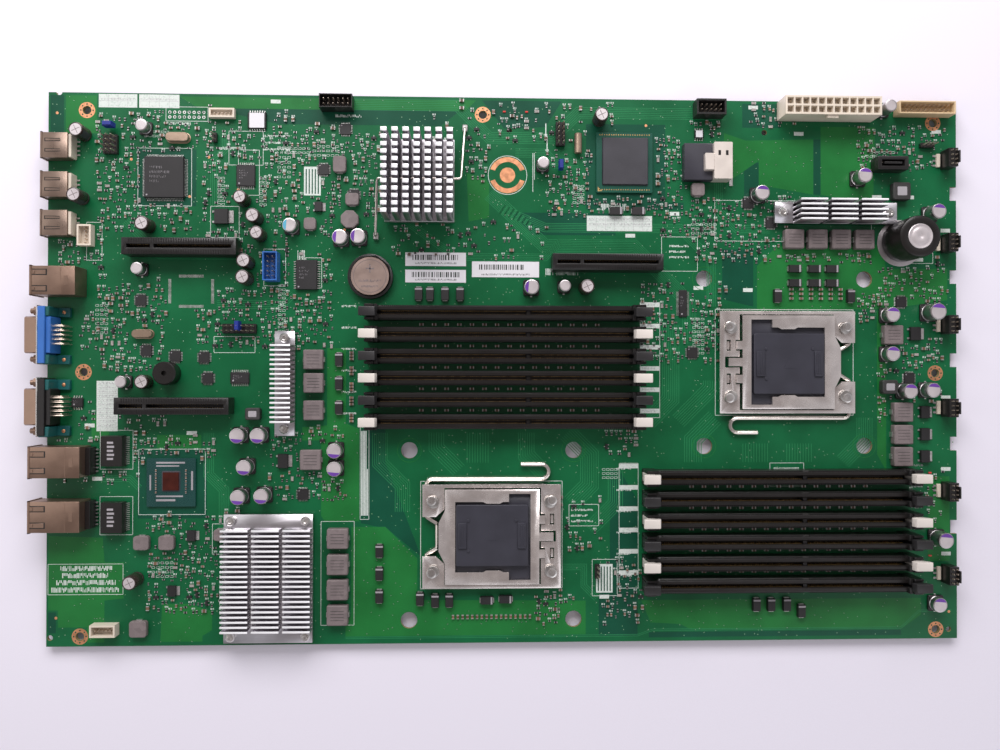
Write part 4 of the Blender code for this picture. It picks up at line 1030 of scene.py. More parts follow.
def scatter_small_parts(look):
    """Seeded scatter of chips, transistors, vias and reference marks into whatever room is left."""
    random = np.random.default_rng(look.scatter_seed)
    spots = {kind: [] for kind in (*PART_KINDS, "transistor", "via", "mark")}
    kinds = ("resistor", "capacitor", "small_resistor", "large_capacitor", "array", "transistor")
    shares = (0.34, 0.24, 0.2, 0.08, 0.05, 0.09)
    room = {kind: np.array(size[:2]) + 0.5 for kind,
            (size, _) in PART_KINDS.items()} | {"transistor": np.array((3.2, 3.2))}
    for x0, x1, y0, y1, count in DENSE_AREAS:
        placed = 0
        for _ in range(count * 4):
            if placed >= count * look.part_density:
                break
            kind = random.choice(kinds, p=shares)
            turn = random.choice((0.0, 90.0))
            size = room[kind][::-1] if turn else room[kind]
            x, y = random.uniform(x0, x1), random.uniform(y0, y1)
            run = int(random.choice((1, 1, 2, 3))) if kind != "transistor" else 1
            for step in range(run):
                spot = np.array((x, y)) + step * (np.array((size[0], 0)) if turn else np.array((0,
                    size[1])))
                if plan.take(*spot, *size):
                    spots[kind].append((*spot, turn))
                    placed += 1
                    if random.random() < 0.85 and plan.take(spot[0], spot[1] + size[1] / 2 + 0.7, 1.7,
                        0.8):
                        spots["mark"].append((spot[0], spot[1] + size[1] / 2 + 0.7, 0.0))
    for _ in range(int(2600 * look.part_density)):
        x, y = random.uniform(2, BOARD_LENGTH - 2), random.uniform(2, BOARD_WIDTH - 2)
        if plan.take(x, y, 0.9, 0.9):
            spots["via"].append((x, y, 0.0))
    tins = []
    for kind, (size, finish_name) in PART_KINDS.items():
        if not spots[kind]:
            continue
        body, ends = chip_part(*size)
        places = np.array(spots[kind])
        make_piece(f"{kind}_bodies", [copies(body, places[:, :2], places[:, 2])], finish_name)
        tins.append(copies(ends, places[:, :2], places[:, 2]))
    places = np.array(spots["transistor"])
    body = shifted(block(2.9, 1.4, ((0, 0.08), (0.5, 0), (1.0, 0.1))), (0, 0, 0.12))
    legs = joined([slab((x - 0.22, y - 0.4, 0), (x + 0.22, y + 0.4, 0.45)) for x,
                   y in ((-0.95, -0.95), (0.95, -0.95), (0, 0.95))])
    make_piece("transistor_bodies", [copies(body, places[:, :2], places[:, 2])], "resin")
    tins.append(copies(legs, places[:, :2], places[:, 2]))
    make_piece("small_part_ends", tins, "tin")
    ring = turned(((0.0, 0.34), (0.03, 0.34)), 8)
    make_piece("via_rims", [copies(ring, np.array(spots["via"])[:, :2])], "pour")
    hole = turned(((0.0, 0.16), (0.045, 0.16)), 6)
    make_piece("via_barrels", [copies(hole, np.array(spots["via"])[:, :2])], "ink")
    strokes = joined([slab((x - 0.17, -0.45, 0), (x + 0.17, 0.45, 0.05)) for x in (-0.75, -0.2, 0.6)])
    make_piece("reference_marks", [copies(strokes, np.array(spots["mark"])[:, :2])], "ink")


TINNED_FEET = []  # tinned feet of every larger part, gathered for one piece


def keep_clear(places, length, width=None):
    """Keeps scattered parts off places that already carry something."""
    plan.fill_round([place[:2] for place in places], length + 0.6, (width or length) + 0.6)


def make_electrolytics():
    """Wet and polymer cans as (x, y, diameter, height), the large can and the buzzer."""
    brown = ((19, 269, 7.4, 11), (18, 235.5, 7.4, 11), (52.5, 221, 7.4, 11), (102.5, 235, 7.0, 11),
             (109, 225.5, 7.4, 11),
             (111, 216.5, 7.0, 11), (104.5, 202, 7.4, 11), (104, 193.5, 7.4, 11), (291, 280, 7.4, 11),
             (283.5, 189.5, 7.4, 11), (51.5, 139, 7.4, 8), (47, 35.5, 7.4, 11))
    sleeves, tops, crosses, stripes = [], [], [], []
    for x, y, wide, tall in brown:
        radius = wide / 2
        profile = ((0.0, radius - 0.15), (0.5, radius), (1.4, radius), (1.7, radius - 0.25),
                   (2.1, radius),
                   (tall - 0.7, radius), (tall - 0.15, radius - 0.18), (tall, radius - 0.55),
                   (tall - 0.12, radius - 0.95))
        sleeves.append(shifted(turned(profile, 40), (x, y)))
        tops.append(shifted(turned(((tall - 0.3, radius - 0.75), (tall - 0.06, radius - 0.75)), 36),
                            (x, y)))
        crosses += [shifted(slab((-radius + 1.4, -0.14, tall - 0.06),
                                 (radius - 1.4, 0.14, tall - 0.02)), (x, y), turn)
                    for turn in (25, 115)]
        band = ring_plate(radius + 0.03, radius - 0.2, 2.4, tall - 1.0, 8, math.radians(-28),
                          math.radians(28))
        stripes.append(shifted(band, (x, y), 180 + 37 * (int(x) % 5)))
    make_piece("brown_capacitor_sleeves", sleeves, "sleeve")
    make_piece("brown_capacitor_stripes", stripes, "grey_resin")

    silver = ((51, 272.5, 6.3, 8), (49, 198, 6.3, 8), (260.5, 255, 6.3, 8), (272, 190, 6.3, 8),
              (41, 139, 6.3, 8),
              (445.5, 286.5, 6.6, 11))
    marked = ((153.5, 215, 8, 8), (163, 215.5, 8, 8), (254.5, 189.5, 8, 6), (377, 240, 8, 9),
              (432, 249.5, 8, 10),
              (471.5, 230.5, 8, 11), (448, 175.5, 8, 8), (471, 177, 9, 11), (448, 154.5, 8, 8),
              (457, 134.5, 8, 9),
              (469.5, 135, 8, 9), (475, 55, 8.4, 11), (474.5, 19.5, 8, 6), (101, 111, 8, 9),
              (111.5, 111, 8, 9),
              (104.5, 94.5, 8, 9), (101.5, 79, 8, 9), (113.5, 79.5, 8, 9), (151, 103, 8, 8),
              (151, 93.5, 8, 8),
              (127.5, 221, 7.5, 8))
    cans, bases, marks = [], [], []
    for x, y, wide, tall in silver + marked:
        radius = wide / 2
        profile = ((1.2, radius - 0.2), (1.6, radius), (2.2, radius), (2.5, radius - 0.3),
                   (2.9, radius),
                   (tall - 0.5, radius), (tall - 0.12, radius - 0.14), (tall, radius - 0.5))
        cans.append(shifted(turned(profile, 44), (x, y)))
        bases.append(shifted(block(wide + 0.5, wide + 0.5, ((0.1, 0), (1.3, 0), (1.5, 0.2)), 1.0, 3),
                             (x, y)))
        foot = slab((-radius - 0.9, -0.5, 0), (radius + 0.9, 0.5, 0.25))
        TINNED_FEET.append(shifted(foot, (x, y), 90))
        tops.append(shifted(turned(((tall - 0.1, radius - 0.7), (tall + 0.02, radius - 0.7)), 40),
                            (x, y)))
        if wide < 7:
            continue
        mark = outward(extruded(disc(radius - 0.45, 14, -1.15, 1.15), tall + 0.01, tall + 0.06))
        marks.append(shifted(mark, (x, y), 90 if x > 300 else 270 if y < 120 else 180))
    make_piece("capacitor_cans", cans, "can")
    make_piece("capacitor_bases", bases, "black_plastic")
    make_piece("capacitor_tops", tops, "can_top")
    make_piece("capacitor_vents", crosses, "ferrite")
    make_piece("capacitor_marks", marks[:-1], "violet_ink")
    make_piece("sky_mark", marks[-1:], "sky_sleeve")
    keep_clear(brown + silver, 8)
    keep_clear(marked, 9.4)

    x, y = 456.5, 215.5
    sleeve = turned(((0.4, 10.6), (0.9, 11.0), (18.4, 11.0), (19.5, 10.6), (20.0, 9.4), (19.9, 7.4),
                     (19.6, 6.4)), 72)
    make_piece("large_can_sleeve", [shifted(sleeve, (x, y))], "slot_plastic")
    top = turned(((19.3, 6.5), (19.8, 6.5), (20.0, 6.2), (19.8, 5.4), (19.8, 4.6), (20.1, 4.2),
                  (20.1, 1.1), (19.8, 0.7)), 64)
    make_piece("large_can_top", [shifted(top, (x, y))], "can_top")
    rim = turned(((0.05, 12.6), (0.35, 12.6), (0.45, 12.3)), 64)
    make_piece("large_can_base", [shifted(rim, (x - 0.8, y - 0.6, 0))], "can")
    plan.fill_round(((x, y),), 26.5)

    x, y = 63.5, 143.5
    shell = skin([np.column_stack((disc(radius, 48), np.full(48, height))) for height, radius in (
        (0.1, 5.9), (0.3, 6.0), (8.5, 6.0), (9.0, 5.5), (9.0, 1.3), (7.0, 1.25))])
    make_piece("buzzer", [shifted(shell, (x, y))], "slot_plastic")
    plan.fill_round(((x, y),), 12.6)


def moulding(length, width, low, high, notch=0.35, corner=0.2):
    """Package body: drafted sides that meet at a parting line halfway up."""
    half = (low + high) / 2
    return block(length, width, ((low, notch * 0.6), (half - 0.05, 0), (half + 0.05, 0), (high, notch)),
                 corner, 2)


def gull_leads(length, width, pitch, count_x, count_y, height, lead=0.3, reach=1.3):
    """Bent leads out of a package's sides: out, down, and a foot on the board."""
    # Each corner is (height above the board, reach from the package).
    side = ((height, 0.0), (height, 0.35), (0.16, 0.7), (0.16, reach), (0.0, reach), (0.0, 0.55),
            (height - 0.16, 0.2), (height - 0.16, 0.0))
    shape = outward(extruded(side, -lead / 2, lead / 2, 1))
    leads = []
    for count, along, turns in ((count_y, 0, (0.0, 180.0)), (count_x, 1, (90.0, 270.0))):
        if not count:
            continue
        line = spread(count, pitch)
        for turn in turns:
            way = 1 if turn in (0.0, 90.0) else -1
            far = np.full(count, way * (length if along == 0 else width) / 2)
            places = np.column_stack((far, line)) if along == 0 else np.column_stack((line, far))
            leads.append(copies(shape, places, turn))
    return joined(leads)


def make_chips():
    """Chips with leads, power packages, jack magnetics, the two grid arrays, bare pads and crystals."""
    quad = ((60.8, 246.8, 21.0, 22.0, 0.8, 24, 25, 2.4), (135.3, 195.8, 11.4, 16.0, 1.27, 0, 12, 1.9))
    dual = ((103.1, 248.2, 10.0, 11.5, 1.0, 9, 0, 1.2), (100.3, 141.1, 10.0, 6.0, 1.0, 9, 0, 1.2),
            (336.4, 181.5, 4.4, 14.6, 0.65, 0, 20, 1.1), (109, 277.4, 9.9, 8.6, 1.27, 7, 0, 1.6),
            (345.1, 272.9, 5.0, 4.2, 1.27, 4, 0, 1.5), (16, 128, 6.2, 5.0, 1.27, 4, 0, 1.5))
    bodies, leads, dots = [], [], []
    for x, y, length, width, pitch, across, along, tall in quad + dual:
        bodies.append(shifted(moulding(length, width, 0.15, tall, 0.4), (x, y)))
        leads.append(shifted(gull_leads(length, width, pitch, across, along, tall * 0.5, pitch * 0.42),
                             (x, y)))
        spot = x - length / 2 + 1.6, y - width / 2 + 1.6
        dots.append(shifted(turned(((tall - 0.02, 0.45), (tall + 0.012, 0.45)), 16), (*spot, 0)))
        for line, share in enumerate((0.32, 0.5, 0.42, 0.24)):
            row = scribble(x - length * 0.36, y + width * (0.2 - 0.11 * line), length * share,
                           width * 0.06, int(x) + line, 0.1)
            dots.append(shifted(row, (0, 0, tall - 0.045)))
        keep_clear([(x, y)], length + 3, width + 3)
    stickers = [slab((x - half, y - half, 1.45), (x + half, y + half, 1.7)) for x, y,
                half in ((109.0, 277.4, 3.9), (345.1, 272.9, 1.8))]
    make_piece("chip_stickers", stickers, "label")
    quads = ((48.5, 182), (51.5, 155.5), (66.5, 152.5), (81.5, 152), (83.5, 141), (341.5, 155),
             (456, 183), (133.5, 79.5),
             (460.5, 141.5), (160, 238.5), (144, 252), (155.5, 273.5), (384.5, 225.5), (372, 236))
    for x, y in quads:
        bodies.append(shifted(moulding(5.8, 5.8, 0.1, 1.0, 0.15), (x, y)))
        leads.append(shifted(gull_leads(5.8, 5.8, 0.8, 6, 6, 0.5, 0.35, 0.8), (x, y)))
        dots.append(shifted(turned(((0.98, 0.3), (1.012, 0.3)), 12), (x - 1.9, y + 1.9, 0)))
    keep_clear(quads, 8)
    power = ((469.5, 123, 7.3, 7.6), (469.5, 111, 7.3, 7.6), (469.5, 99, 7.3, 7.6),
             (464.4, 165.6, 8.5, 8.2),
             (123.9, 97.2, 7.8, 8.5), (91.5, 226.4, 10.4, 9.1), (66, 29, 6.5, 6.5), (76, 58, 6.5, 6.5),
             (142, 232, 6, 6))
    for x, y, length, width in power:
        bodies.append(shifted(moulding(length * 0.72, width * 0.9, 0.12, 2.1, 0.3),
                              (x - length * 0.1, y, 0)))
        TINNED_FEET.append(slab((x + length * 0.1, y - width * 0.36, 0.0),
                                (x + length * 0.5, y + width * 0.36, 0.5)))
        for aside in (-0.3, 0.3):
            TINNED_FEET.append(slab((x - length * 0.58, y + width * aside - 0.5, 0),
                                    (x - length * 0.4, y + width * aside + 0.5, 0.6)))
        keep_clear([(x, y)], length + 2, width)
    make_piece("package_bodies", bodies, "resin")
    make_piece("package_leads", leads, "tin")
    make_piece("package_marks", dots, "mark_ink")

    magnetics = ((35.7, 102.9, 13.4, 16.2), (35.8, 68.2, 13.5, 16.4))
    make_piece("network_magnetics", [shifted(moulding(wide - 2, long, 0.4, 6.0, 0.3), (x, y)) for x, y,
                                     wide, long in magnetics],
               "slot_plastic")
    TINNED_FEET.extend(shifted(gull_leads(wide - 2, long, 1.0, 0, 15, 1.6, 0.42, 1.5), (x, y)) for x, y,
                       wide, long in magnetics)
    marks = [slab((x - 2.2, y - 4.5 + 2.1 * k, 5.98),
                  (x + 1.0 + 0.5 * (k % 2), y - 3.4 + 2.1 * k, 6.02)) for x, y, _,
                  _ in magnetics for k in range(5)]
    make_piece("magnetics_marks", marks, "mark_ink")
    keep_clear(magnetics, 16, 19)

    make_piece("bridge_substrate", [shifted(block(30.4, 32.3, ((0.35, 0.05), (1.3, 0), (1.4, 0.05)),
                                                  0.4, 2), (304.6, 257, 0))], "substrate")
    make_piece("bridge_mould", [shifted(block(24.9, 25.7, ((1.4, 0), (1.9, 0.15), (2.6, 0.5)), 0.6, 3),
                                        (304.9, 257.6, 0))], "grey_resin")
    balls = turned(((0.0, 0.2), (0.2, 0.33), (0.4, 0.2)), 8)
    solder = [copies(balls, grid(22, 24, 1.27, 1.27) + (304.6, 257)),
              copies(balls, grid(19, 19, 1.27, 1.27) + (64.8, 86.1))]
    corner = extruded(((290.2, 241.6), (292.6, 241.6), (290.2, 244.0)), 1.38, 1.43)
    make_piece("grid_array_balls", solder, "tin")
    pads = [copies(turned(((1.38, 0.35), (1.43, 0.35)), 10),
                   grid(22, 1, 1.27, 1) + (304.6, side)) for side in (242.4, 271.9)]
    make_piece("corner_gold", [corner, *pads], "gold")
    plan.fill_round(((304.6, 257),), 31.5, 33.5)
    substrate = block(25.5, 25.5, ((0.35, 0.05), (1.15, 0), (1.25, 0.05)), 0.4, 2)
    make_piece("hub_substrate", [shifted(substrate, (64.8, 86.1, 0))], "dark_substrate")
    make_piece("hub_die", [shifted(block(8.3, 9.5, ((1.25, 0), (2.0, 0.03)), 0.1, 2), (64.8, 86.7, 0))],
               "die")
    make_piece("hub_underfill", [shifted(block(9.7, 10.9, ((1.24, 0), (1.45, 0.7)), 0.7, 3),
                                         (64.8, 86.7, 0))], "slate_plastic")
    bars = [slab((x0, y0, 1.24), (x1, y1, 1.29)) for x0, y0, x1, y1 in (
        (57, 96, 72, 96.9), (57, 94.4, 69, 95.1), (57, 76.2, 67, 77.3), (57, 78.4, 71, 79.2),
        (75.2, 82, 76.2, 92), (53.6, 82, 54.4, 90))]
    small, ends = chip_part(1.2, 0.7, 0.5, 0.28)
    around = np.array([(x, y, 1.25) for x in (57, 72.6) for y in np.arange(81, 93, 1.9)])
    make_piece("hub_marks", bars, "mark_ink")
    make_piece("hub_capacitors", [copies(small, around, 90)], "tan_ceramic")
    TINNED_FEET.append(copies(ends, around, 90))
    plan.fill_round(((64.8, 86.1),), 27, 27)

    places, turns = around_square(20, 0.65, 11.2, 8.0)
    pads = [copies(slab((-0.75, -0.2, 0), (0.75, 0.2, 0.05)), places + np.array((74.5, 186.9)), turns)]
    row = grid(8, 2, PIN_PITCH, PIN_PITCH) + (71.9, 280.4)
    pads.append(copies(ring_plate(0.85, 0.45, 0, 0.05, 16), row))
    make_piece("bare_pads", pads, "tin")
    plan.fill_round(((74.5, 186.9),), 25, 18.5)
    plan.fill_round(((71.9, 280.4),), 22, 6.8)

    crystals = ((67.8, 267.8, 12.0, 4.9), (49.9, 164.2, 10.5, 4.3))
    cans = [shifted(block(length, width, ((0.1, -0.35), (0.5, -0.35), (0.55, 0), (3.3, 0), (3.7, 0.35)),
                          width / 2 - 0.05, 8), (x, y))
            for x, y, length, width in crystals]
    make_piece("crystal_cans", cans, "crystal_steel")
    barrel = extruded(disc(2.0, 28), -5.2, 5.2, 1)
    make_piece("lying_crystal", [shifted(barrel, (279.5, 266.8, 2.2))], "crystal_steel")
    keep_clear(crystals, 13, 6)
    plan.fill_round(((279.5, 266.8),), 5, 12)


def make_inductors():
    """Square, small, round and dark inductors as (x, y, length, width)."""
    square = [(x, 216.2, 10.3, 10.3) for x in (396.0, 408.8, 421.6, 434.4)]
    square += [(450.1, 164.8, 10.3, 10.3), (455.4, 123.1, 10.3, 10.3), (455.4, 111, 10.3, 10.3),
               (455.3, 99.1, 10.3, 10.3),
               (139.4, 150.9, 10.3, 10.3), (139.5, 138.5, 10.3, 10.3), (139.5, 124.1, 10.3, 10.3),
               (138.1, 98, 10.9, 10.5)]
    square += [(152.3, y, 11, 10.5) for y in (56.5, 42.8, 29.6, 16.2)]
    small = ((152.7, 254.3, 6.8, 8.6), (159.4, 235.8, 7.1, 6.4), (344.1, 242.6, 7, 7),
             (50, 54.6, 8, 7.3), (63, 54.6, 8, 7.3),
             (48.5, 9.6, 8.9, 8.4), (137.2, 222.6, 6.3, 6.3), (90.5, 58.5, 6, 6))
    bodies, tabs, lines = [], [], []
    for x, y, length, width in square:
        bodies.append(shifted(block(length, width, ((0.3, 0.1), (0.6, 0), (4.5, 0), (4.95, 0.45)), 0.7,
                                    4), (x, y)))
        tabs += [slab((x + way * length / 2 - 0.5, y - 1.3, 0),
                      (x + way * length / 2 + 0.5, y + 1.3, 2.6)) for way in (-1, 1)]
        lines += [slab((x - length * 0.32, y + aside - 0.12, 4.94),
                       (x + length * 0.32, y + aside + 0.12, 4.98)) for aside in (-2.4, -0.8, 0.8, 2.4)]
    for x, y, length, width in small:
        bodies.append(shifted(block(length, width, ((0.3, 0.1), (0.5, 0), (3.3, 0), (3.6, 0.3)), 1.4,
                                    4), (x, y)))
        tabs += [slab((x - 1.5, y + way * width / 2 - 0.4, 0),
                      (x + 1.5, y + way * width / 2 + 0.4, 1.5)) for way in (-1, 1)]
    drum = turned(((0.2, 4.8), (0.5, 5.0), (3.9, 5.0), (4.2, 4.6)), 8)
    bodies.append(shifted(drum, (158.2, 225), 22.5))
    make_piece("inductor_bodies", bodies, "ferrite")
    make_piece("inductor_tabs", tabs, "tin")
    make_piece("inductor_marks", lines, "dark_ferrite")
    dark = ((454.9, 242.5, 9.5, 9.5), (107.8, 122.2, 7.8, 6.3), (448.3, 136.7, 8.4, 7.5))
    make_piece("dark_inductors", [shifted(block(length, width, ((0.2, 0), (4.0, 0), (4.4, 0.4)), 1.2,
                                                4), (x, y)) for x, y, length, width in dark],
               "dark_ferrite")
    make_piece("dark_inductor_tops", [shifted(block(length * 0.55, width * 0.5, ((4.38, 0), (4.44, 0)),
                                                    0.3, 2), (x, y)) for x, y, length, width in dark],
               "mark_ink")
    for x, y, length, width in (*square, *small, *dark, (158.2, 225, 10, 10)):
        keep_clear([(x, y)], length + 1.6, width + 0.6)


def make_tantalums():
    """Moulded tantalums lying both ways, and rows of filter capacitors."""
    along_x = [(x, y) for x in (397.1, 407.9, 417.5) for y in (200.5, 192.8)] + [(231, 23), (241, 23.5),
        (300, 231), (312, 231)]
    along_y = [(387.7, 185.8), (427.8, 185.9), (152.5, 151), (152.5, 138.5), (152.5, 125.5),
               (174, 49.5), (174, 37.5),
               (174, 25.5), (195.5, 24), (203.5, 23), (211, 23), (376, 19.5), (384, 19.5),
               (392.5, 19.5), (400.5, 16),
               (194.5, 186), (200.5, 186), (208.5, 186), (216.5, 186)]
    places = np.array(along_x + along_y, float)
    turns = np.repeat((0.0, 90.0), (len(along_x), len(along_y)))
    body = block(7.0, 4.3, ((0.1, 0.1), (1.3, 0), (2.9, 0.25)), 0.2, 2)
    ends = joined([slab((x - 0.45, -1.3, 0), (x + 0.45, 1.3, 1.6)) for x in (-3.35, 3.35)])
    band = slab((2.0, -1.9, 2.88), (2.9, 1.9, 2.93))
    make_piece("tantalum_bodies", [copies(body, places, turns)], "resin")
    make_piece("tantalum_bands", [copies(band, places, turns)], "mark_ink")
    TINNED_FEET.append(copies(ends, places, turns))
    keep_clear(along_x, 8, 5)
    keep_clear(along_y, 5, 8)

    row = np.column_stack((np.linspace(213, 254, 17), np.full(17, 14.0)))
    cluster = grid(6, 3, 5.4, 2.5) + (409, 187)
    triples = np.array([(159, y + step) for y in (153, 145, 136.5, 129, 120) for step in (-1.7, 0,
        1.7)])
    banks = np.array([(x, (top + low) / 2) for x in np.linspace(196, 290, 15) for top,
                      low in zip(DIMM_ROWS, DIMM_ROWS[1:])])
    others = np.array([(x, (top + low) / 2) for x in np.linspace(341, 436, 15) for top,
                       low in zip(BANK_B_ROWS, BANK_B_ROWS[1:])])
    pairs = np.concatenate((cluster, triples, banks, others))
    body, tips = chip_part(2.2, 1.2, 1.1, 0.45)
    make_piece("filter_capacitors", [copies(body, pairs), copies(body, row, 90)], "tan_ceramic")
    TINNED_FEET.extend((copies(tips, pairs), copies(tips, row, 90)))
    keep_clear(pairs, 2.6, 1.4)
    keep_clear(row, 1.6, 3.2)


def header(x, y, columns, rows, height, turn=0.0, wall=0.0):
    """Pin header lying on X: (body, pins) shapes with its plastic and its square posts."""
    length, width = columns * PIN_PITCH, rows * PIN_PITCH
    body = [block(length, width, ((0.05, 0.15), (0.3, 0), (2.4, 0), (2.54, 0.15)), 0.3, 2)]
    if wall:
        outer = oblong(length + 2 * wall + 1.2, width + 2 * wall + 1.2)
        inner = oblong(length + 1.2, width + 1.2)
        levels = ((outer, 0.0), (outer, height), (inner, height), (inner, 2.5))
        body = [skin([np.column_stack((ring, np.full(4, level))) for ring, level in levels])]
    pins = copies(block(PIN_SIDE, PIN_SIDE, ((0.0, 0), (height - 0.7, 0), (height - 0.2, 0.16))),
                  grid(columns, rows, PIN_PITCH, PIN_PITCH))
    return shifted(joined(body), (x, y), turn), shifted(pins, (x, y), turn)


def make_headers():
    """Pin headers, jumpers, white shells, fan connectors and indicator lights."""
    black = (header(100.3, 167.1, 7, 2, 8.6), header(270, 271.8, 5, 2, 8.4, 90),
             header(32.9, 263.8, 4, 3, 8.4, 90),
             header(151.4, 286.3, 6, 2, 8.5, 0.0, 0.4), header(349.9, 285.6, 5, 2, 8.6, 0, 1.0),
             header(290, 38, 3, 1, 8.4, 90),
             header(470, 268, 3, 1, 8.4), header(87, 268, 2, 1, 8.4, 90))
    make_piece("header_bodies", [body for body, _ in black], "black_plastic")
    blue = header(117.4, 199.6, 5, 2, 8.0, 90, 0.6)
    make_piece("blue_header", [blue[0]], "blue_plastic")
    pins = [pin for _, pin in (*black, blue)]
    jumper = skin([np.column_stack((oblong(5.0 - 2 * inset, 2.5 - 2 * inset), np.full(4, level)))
                   for level, inset in ((2.6, 0), (7.6, 0), (8.2, 0.4))])
    spots = ((33.4, 273.2), (270, 254.5), (100.3, 168.4))
    make_piece("jumpers", [copies(jumper, spots, (0, 90, 90))], "deep_blue")
    for x, y, length, width in ((117.4, 199.6, 7.4, 15.6), (100.3, 167.1, 19, 7), (270, 271.8, 6, 14.5),
                                (32.9, 263.8, 9.8, 12.4),
                                (151.4, 286.3, 17.6, 7.6), (349.9, 285.6, 16.5, 9),
                                (33.4, 273.2, 5.4, 3), (270, 254.5, 3, 5.4),
                                (290, 38, 3, 8), (470, 268, 8, 3), (87, 268, 3, 6)):
        plan.fill_round(((x, y),), length, width)

    white = ((20.7, 215.6, 7.2, 11, 5), (31.3, 9.4, 13, 6.3, 6), (91, 280.8, 13.2, 4.9, 3.4))
    shells = []
    for x, y, length, width, tall in white:
        outer, inner = oblong(length, width), oblong(length - 1.8, width - 1.8)
        rings = [np.column_stack((ring, np.full(4, level))) for ring,
                 level in ((outer, 0.1), (outer, tall), (inner, tall), (inner, 1.2))]
        shells.append(shifted(skin(rings), (x, y)))
        count = int(max(length, width) / 2.2)
        line = grid(count, 1, 2.0, 1) if length > width else grid(1, count, 1, 2.0)
        pins.append(copies(block(0.6, 0.6, ((0, 0), (tall - 0.8, 0.05))), line + (x, y)))
        plan.fill_round(((x, y),), length + 1, width + 1)
    dark = []
    fan_rows = (260.0, 214.4, 170.3, 125.5, 80.4, 35.6)
    for y in fan_rows:
        dark.append(shifted(block(5.2, 9.9, ((0.1, 0.1), (0.4, 0), (8.6, 0), (8.8, 0.1)), 0.2, 2),
                            (480.6, y, 0)))
        dark.append(slab((482.4, y - 3.2, 2.6), (483.2, y + 3.2, 11.0), 0.15))
        pins.append(copies(block(PIN_SIDE, PIN_SIDE, ((0, 0), (10.2, 0), (10.6, 0.16))),
                           grid(2, 4, 2.2, 2.4) + (480.6, y)))
        shells.append(slab((475.6, y - 3.6, 0.05), (477.6, y + 3.6, 1.4), 0.2))
        plan.fill_round(((479.6, y),), 9, 11)
    make_piece("fan_connectors", dark, "black_plastic")
    make_piece("white_connector_shells", shells, "white_nylon")
    make_piece("header_pins", pins, "warm_tin")
    dots = np.array([(474.6, y + step) for y in fan_rows for step in (-2.6, 0, 2.6)])
    TINNED_FEET.append(copies(slab((-0.8, -0.5, 0), (0.8, 0.5, 0.5)), dots))
    leds = np.array([(14, 92), (14, 97), (14, 102), (472, 90), (472, 45), (240, 284), (252, 284)])
    make_piece("indicator_lenses", [copies(block(1.6, 0.9, ((0, 0), (0.7, 0.1))), leds)], "red_lens")
    keep_clear(leds, 2.2, 1.6)


# ---- memory slots ----------------------------------------------------------------------------
SLOT_HALF, SLOT_WIDE, SLOT_TALL = 66.925, 7.6, 10.4
KEY_SPOT = 12.0
SLOT_SEAT = 0.3


def slot_rails():
    """One slot's body without its towers, about its middle: two rails, floor, key bridge and ribs."""
    low, high, groove = SLOT_SEAT, SLOT_TALL + SLOT_SEAT, 0.95
    profile = np.array(((-SLOT_WIDE / 2 + 0.35, low), (-SLOT_WIDE / 2, low + 0.6),
                        (-SLOT_WIDE / 2, high - 2.2),
                        (-SLOT_WIDE / 2 + 0.7, high - 1.6), (-SLOT_WIDE / 2 + 0.7, high - 0.25),
                        (-SLOT_WIDE / 2 + 0.95, high),
                        (-groove - 0.5, high), (-groove, high - 0.6), (-groove, low + 3.4)))
    whole = np.concatenate((profile, (profile * (-1, 1))[::-1]))[::-1]
    rails = extruded(whole, -SLOT_HALF + 0.2, SLOT_HALF - 0.2, 0)
    key_half = 1.1, groove + 0.1
    key = slab((KEY_SPOT - key_half[0], -key_half[1], low + 3.2),
               (KEY_SPOT + key_half[0], key_half[1], high - 1.6), 0.15)
    ribs = slab((-0.2, SLOT_WIDE / 2 - 0.72, high - 1.7), (0.2, SLOT_WIDE / 2 - 0.05, high - 0.4))
    places = spread(129, 1.016)
    places = places[abs(places - KEY_SPOT) > 1.4]
    spots = np.column_stack((places, np.zeros(len(places))))
    return joined([rails, key]), joined([copies(ribs, spots), copies(ribs, spots, 180)]), spots


def slot_towers():
    """Two end towers about a slot's middle: cheeks beside the latch, a split inner wall and a floor."""
    towers = []
    for way in (-1, 1):
        wall = way * (SLOT_HALF + 1.6)
        inner, outer = wall - way * 1.9, wall + way * 4.8
        for ends, reach, top, edge in ((sorted((wall, outer)), 2.65, 14.3, 0.25),
                                       (sorted((inner, wall)), 0.95, 12.8, 0.2)):
            for y0, y1 in ((-4.1, -reach), (reach, 4.1)):
                towers.append(slab((ends[0], y0, SLOT_SEAT), (ends[1], y1, top), edge))
        towers.append(slab((min(inner, outer), -3.9, SLOT_SEAT), (max(inner, outer), 3.9, 1.6)))
    return joined(towers)


def make_memory_slots():
    """Twelve slots, each a body, ribs, contacts and towers, and the latches' finishes."""
    body, ribs, spots = slot_rails()
    towers = slot_towers()
    contact = slab((-0.2, 0.72, 3.8), (0.2, 0.98, SLOT_TALL + SLOT_SEAT - 2.6))
    for letter, rows, x in (("a", DIMM_ROWS, 240.5), ("b", BANK_B_ROWS, 387.6)):
        for number, y in enumerate(rows, 1):
            label = f"memory_slot_{letter}{number}"
            make_piece(f"{label}_body", [shifted(body, (x, y))], "slot_plastic",
                       replaces=(f"dimm_bank_{letter}",) if number == 1 else ())
            make_piece(f"{label}_ribs", [shifted(ribs, (x, y))], "black_plastic")
            make_piece(f"{label}_towers", [shifted(towers, (x, y))], "black_plastic")
            gold = [copies(contact, spots), copies(contact, spots, 180)]
            make_piece(f"{label}_contacts", [shifted(shape, (x, y)) for shape in gold], "gold")
        for number in range(1, len(rows) + 1):
            colour = "latch_white" if number % 2 == (letter == "b") else "latch_black"
            for side in ("left", "right"):
                dress(f"dimm_latch_{letter}{number}_{side}", colour, 0.35)


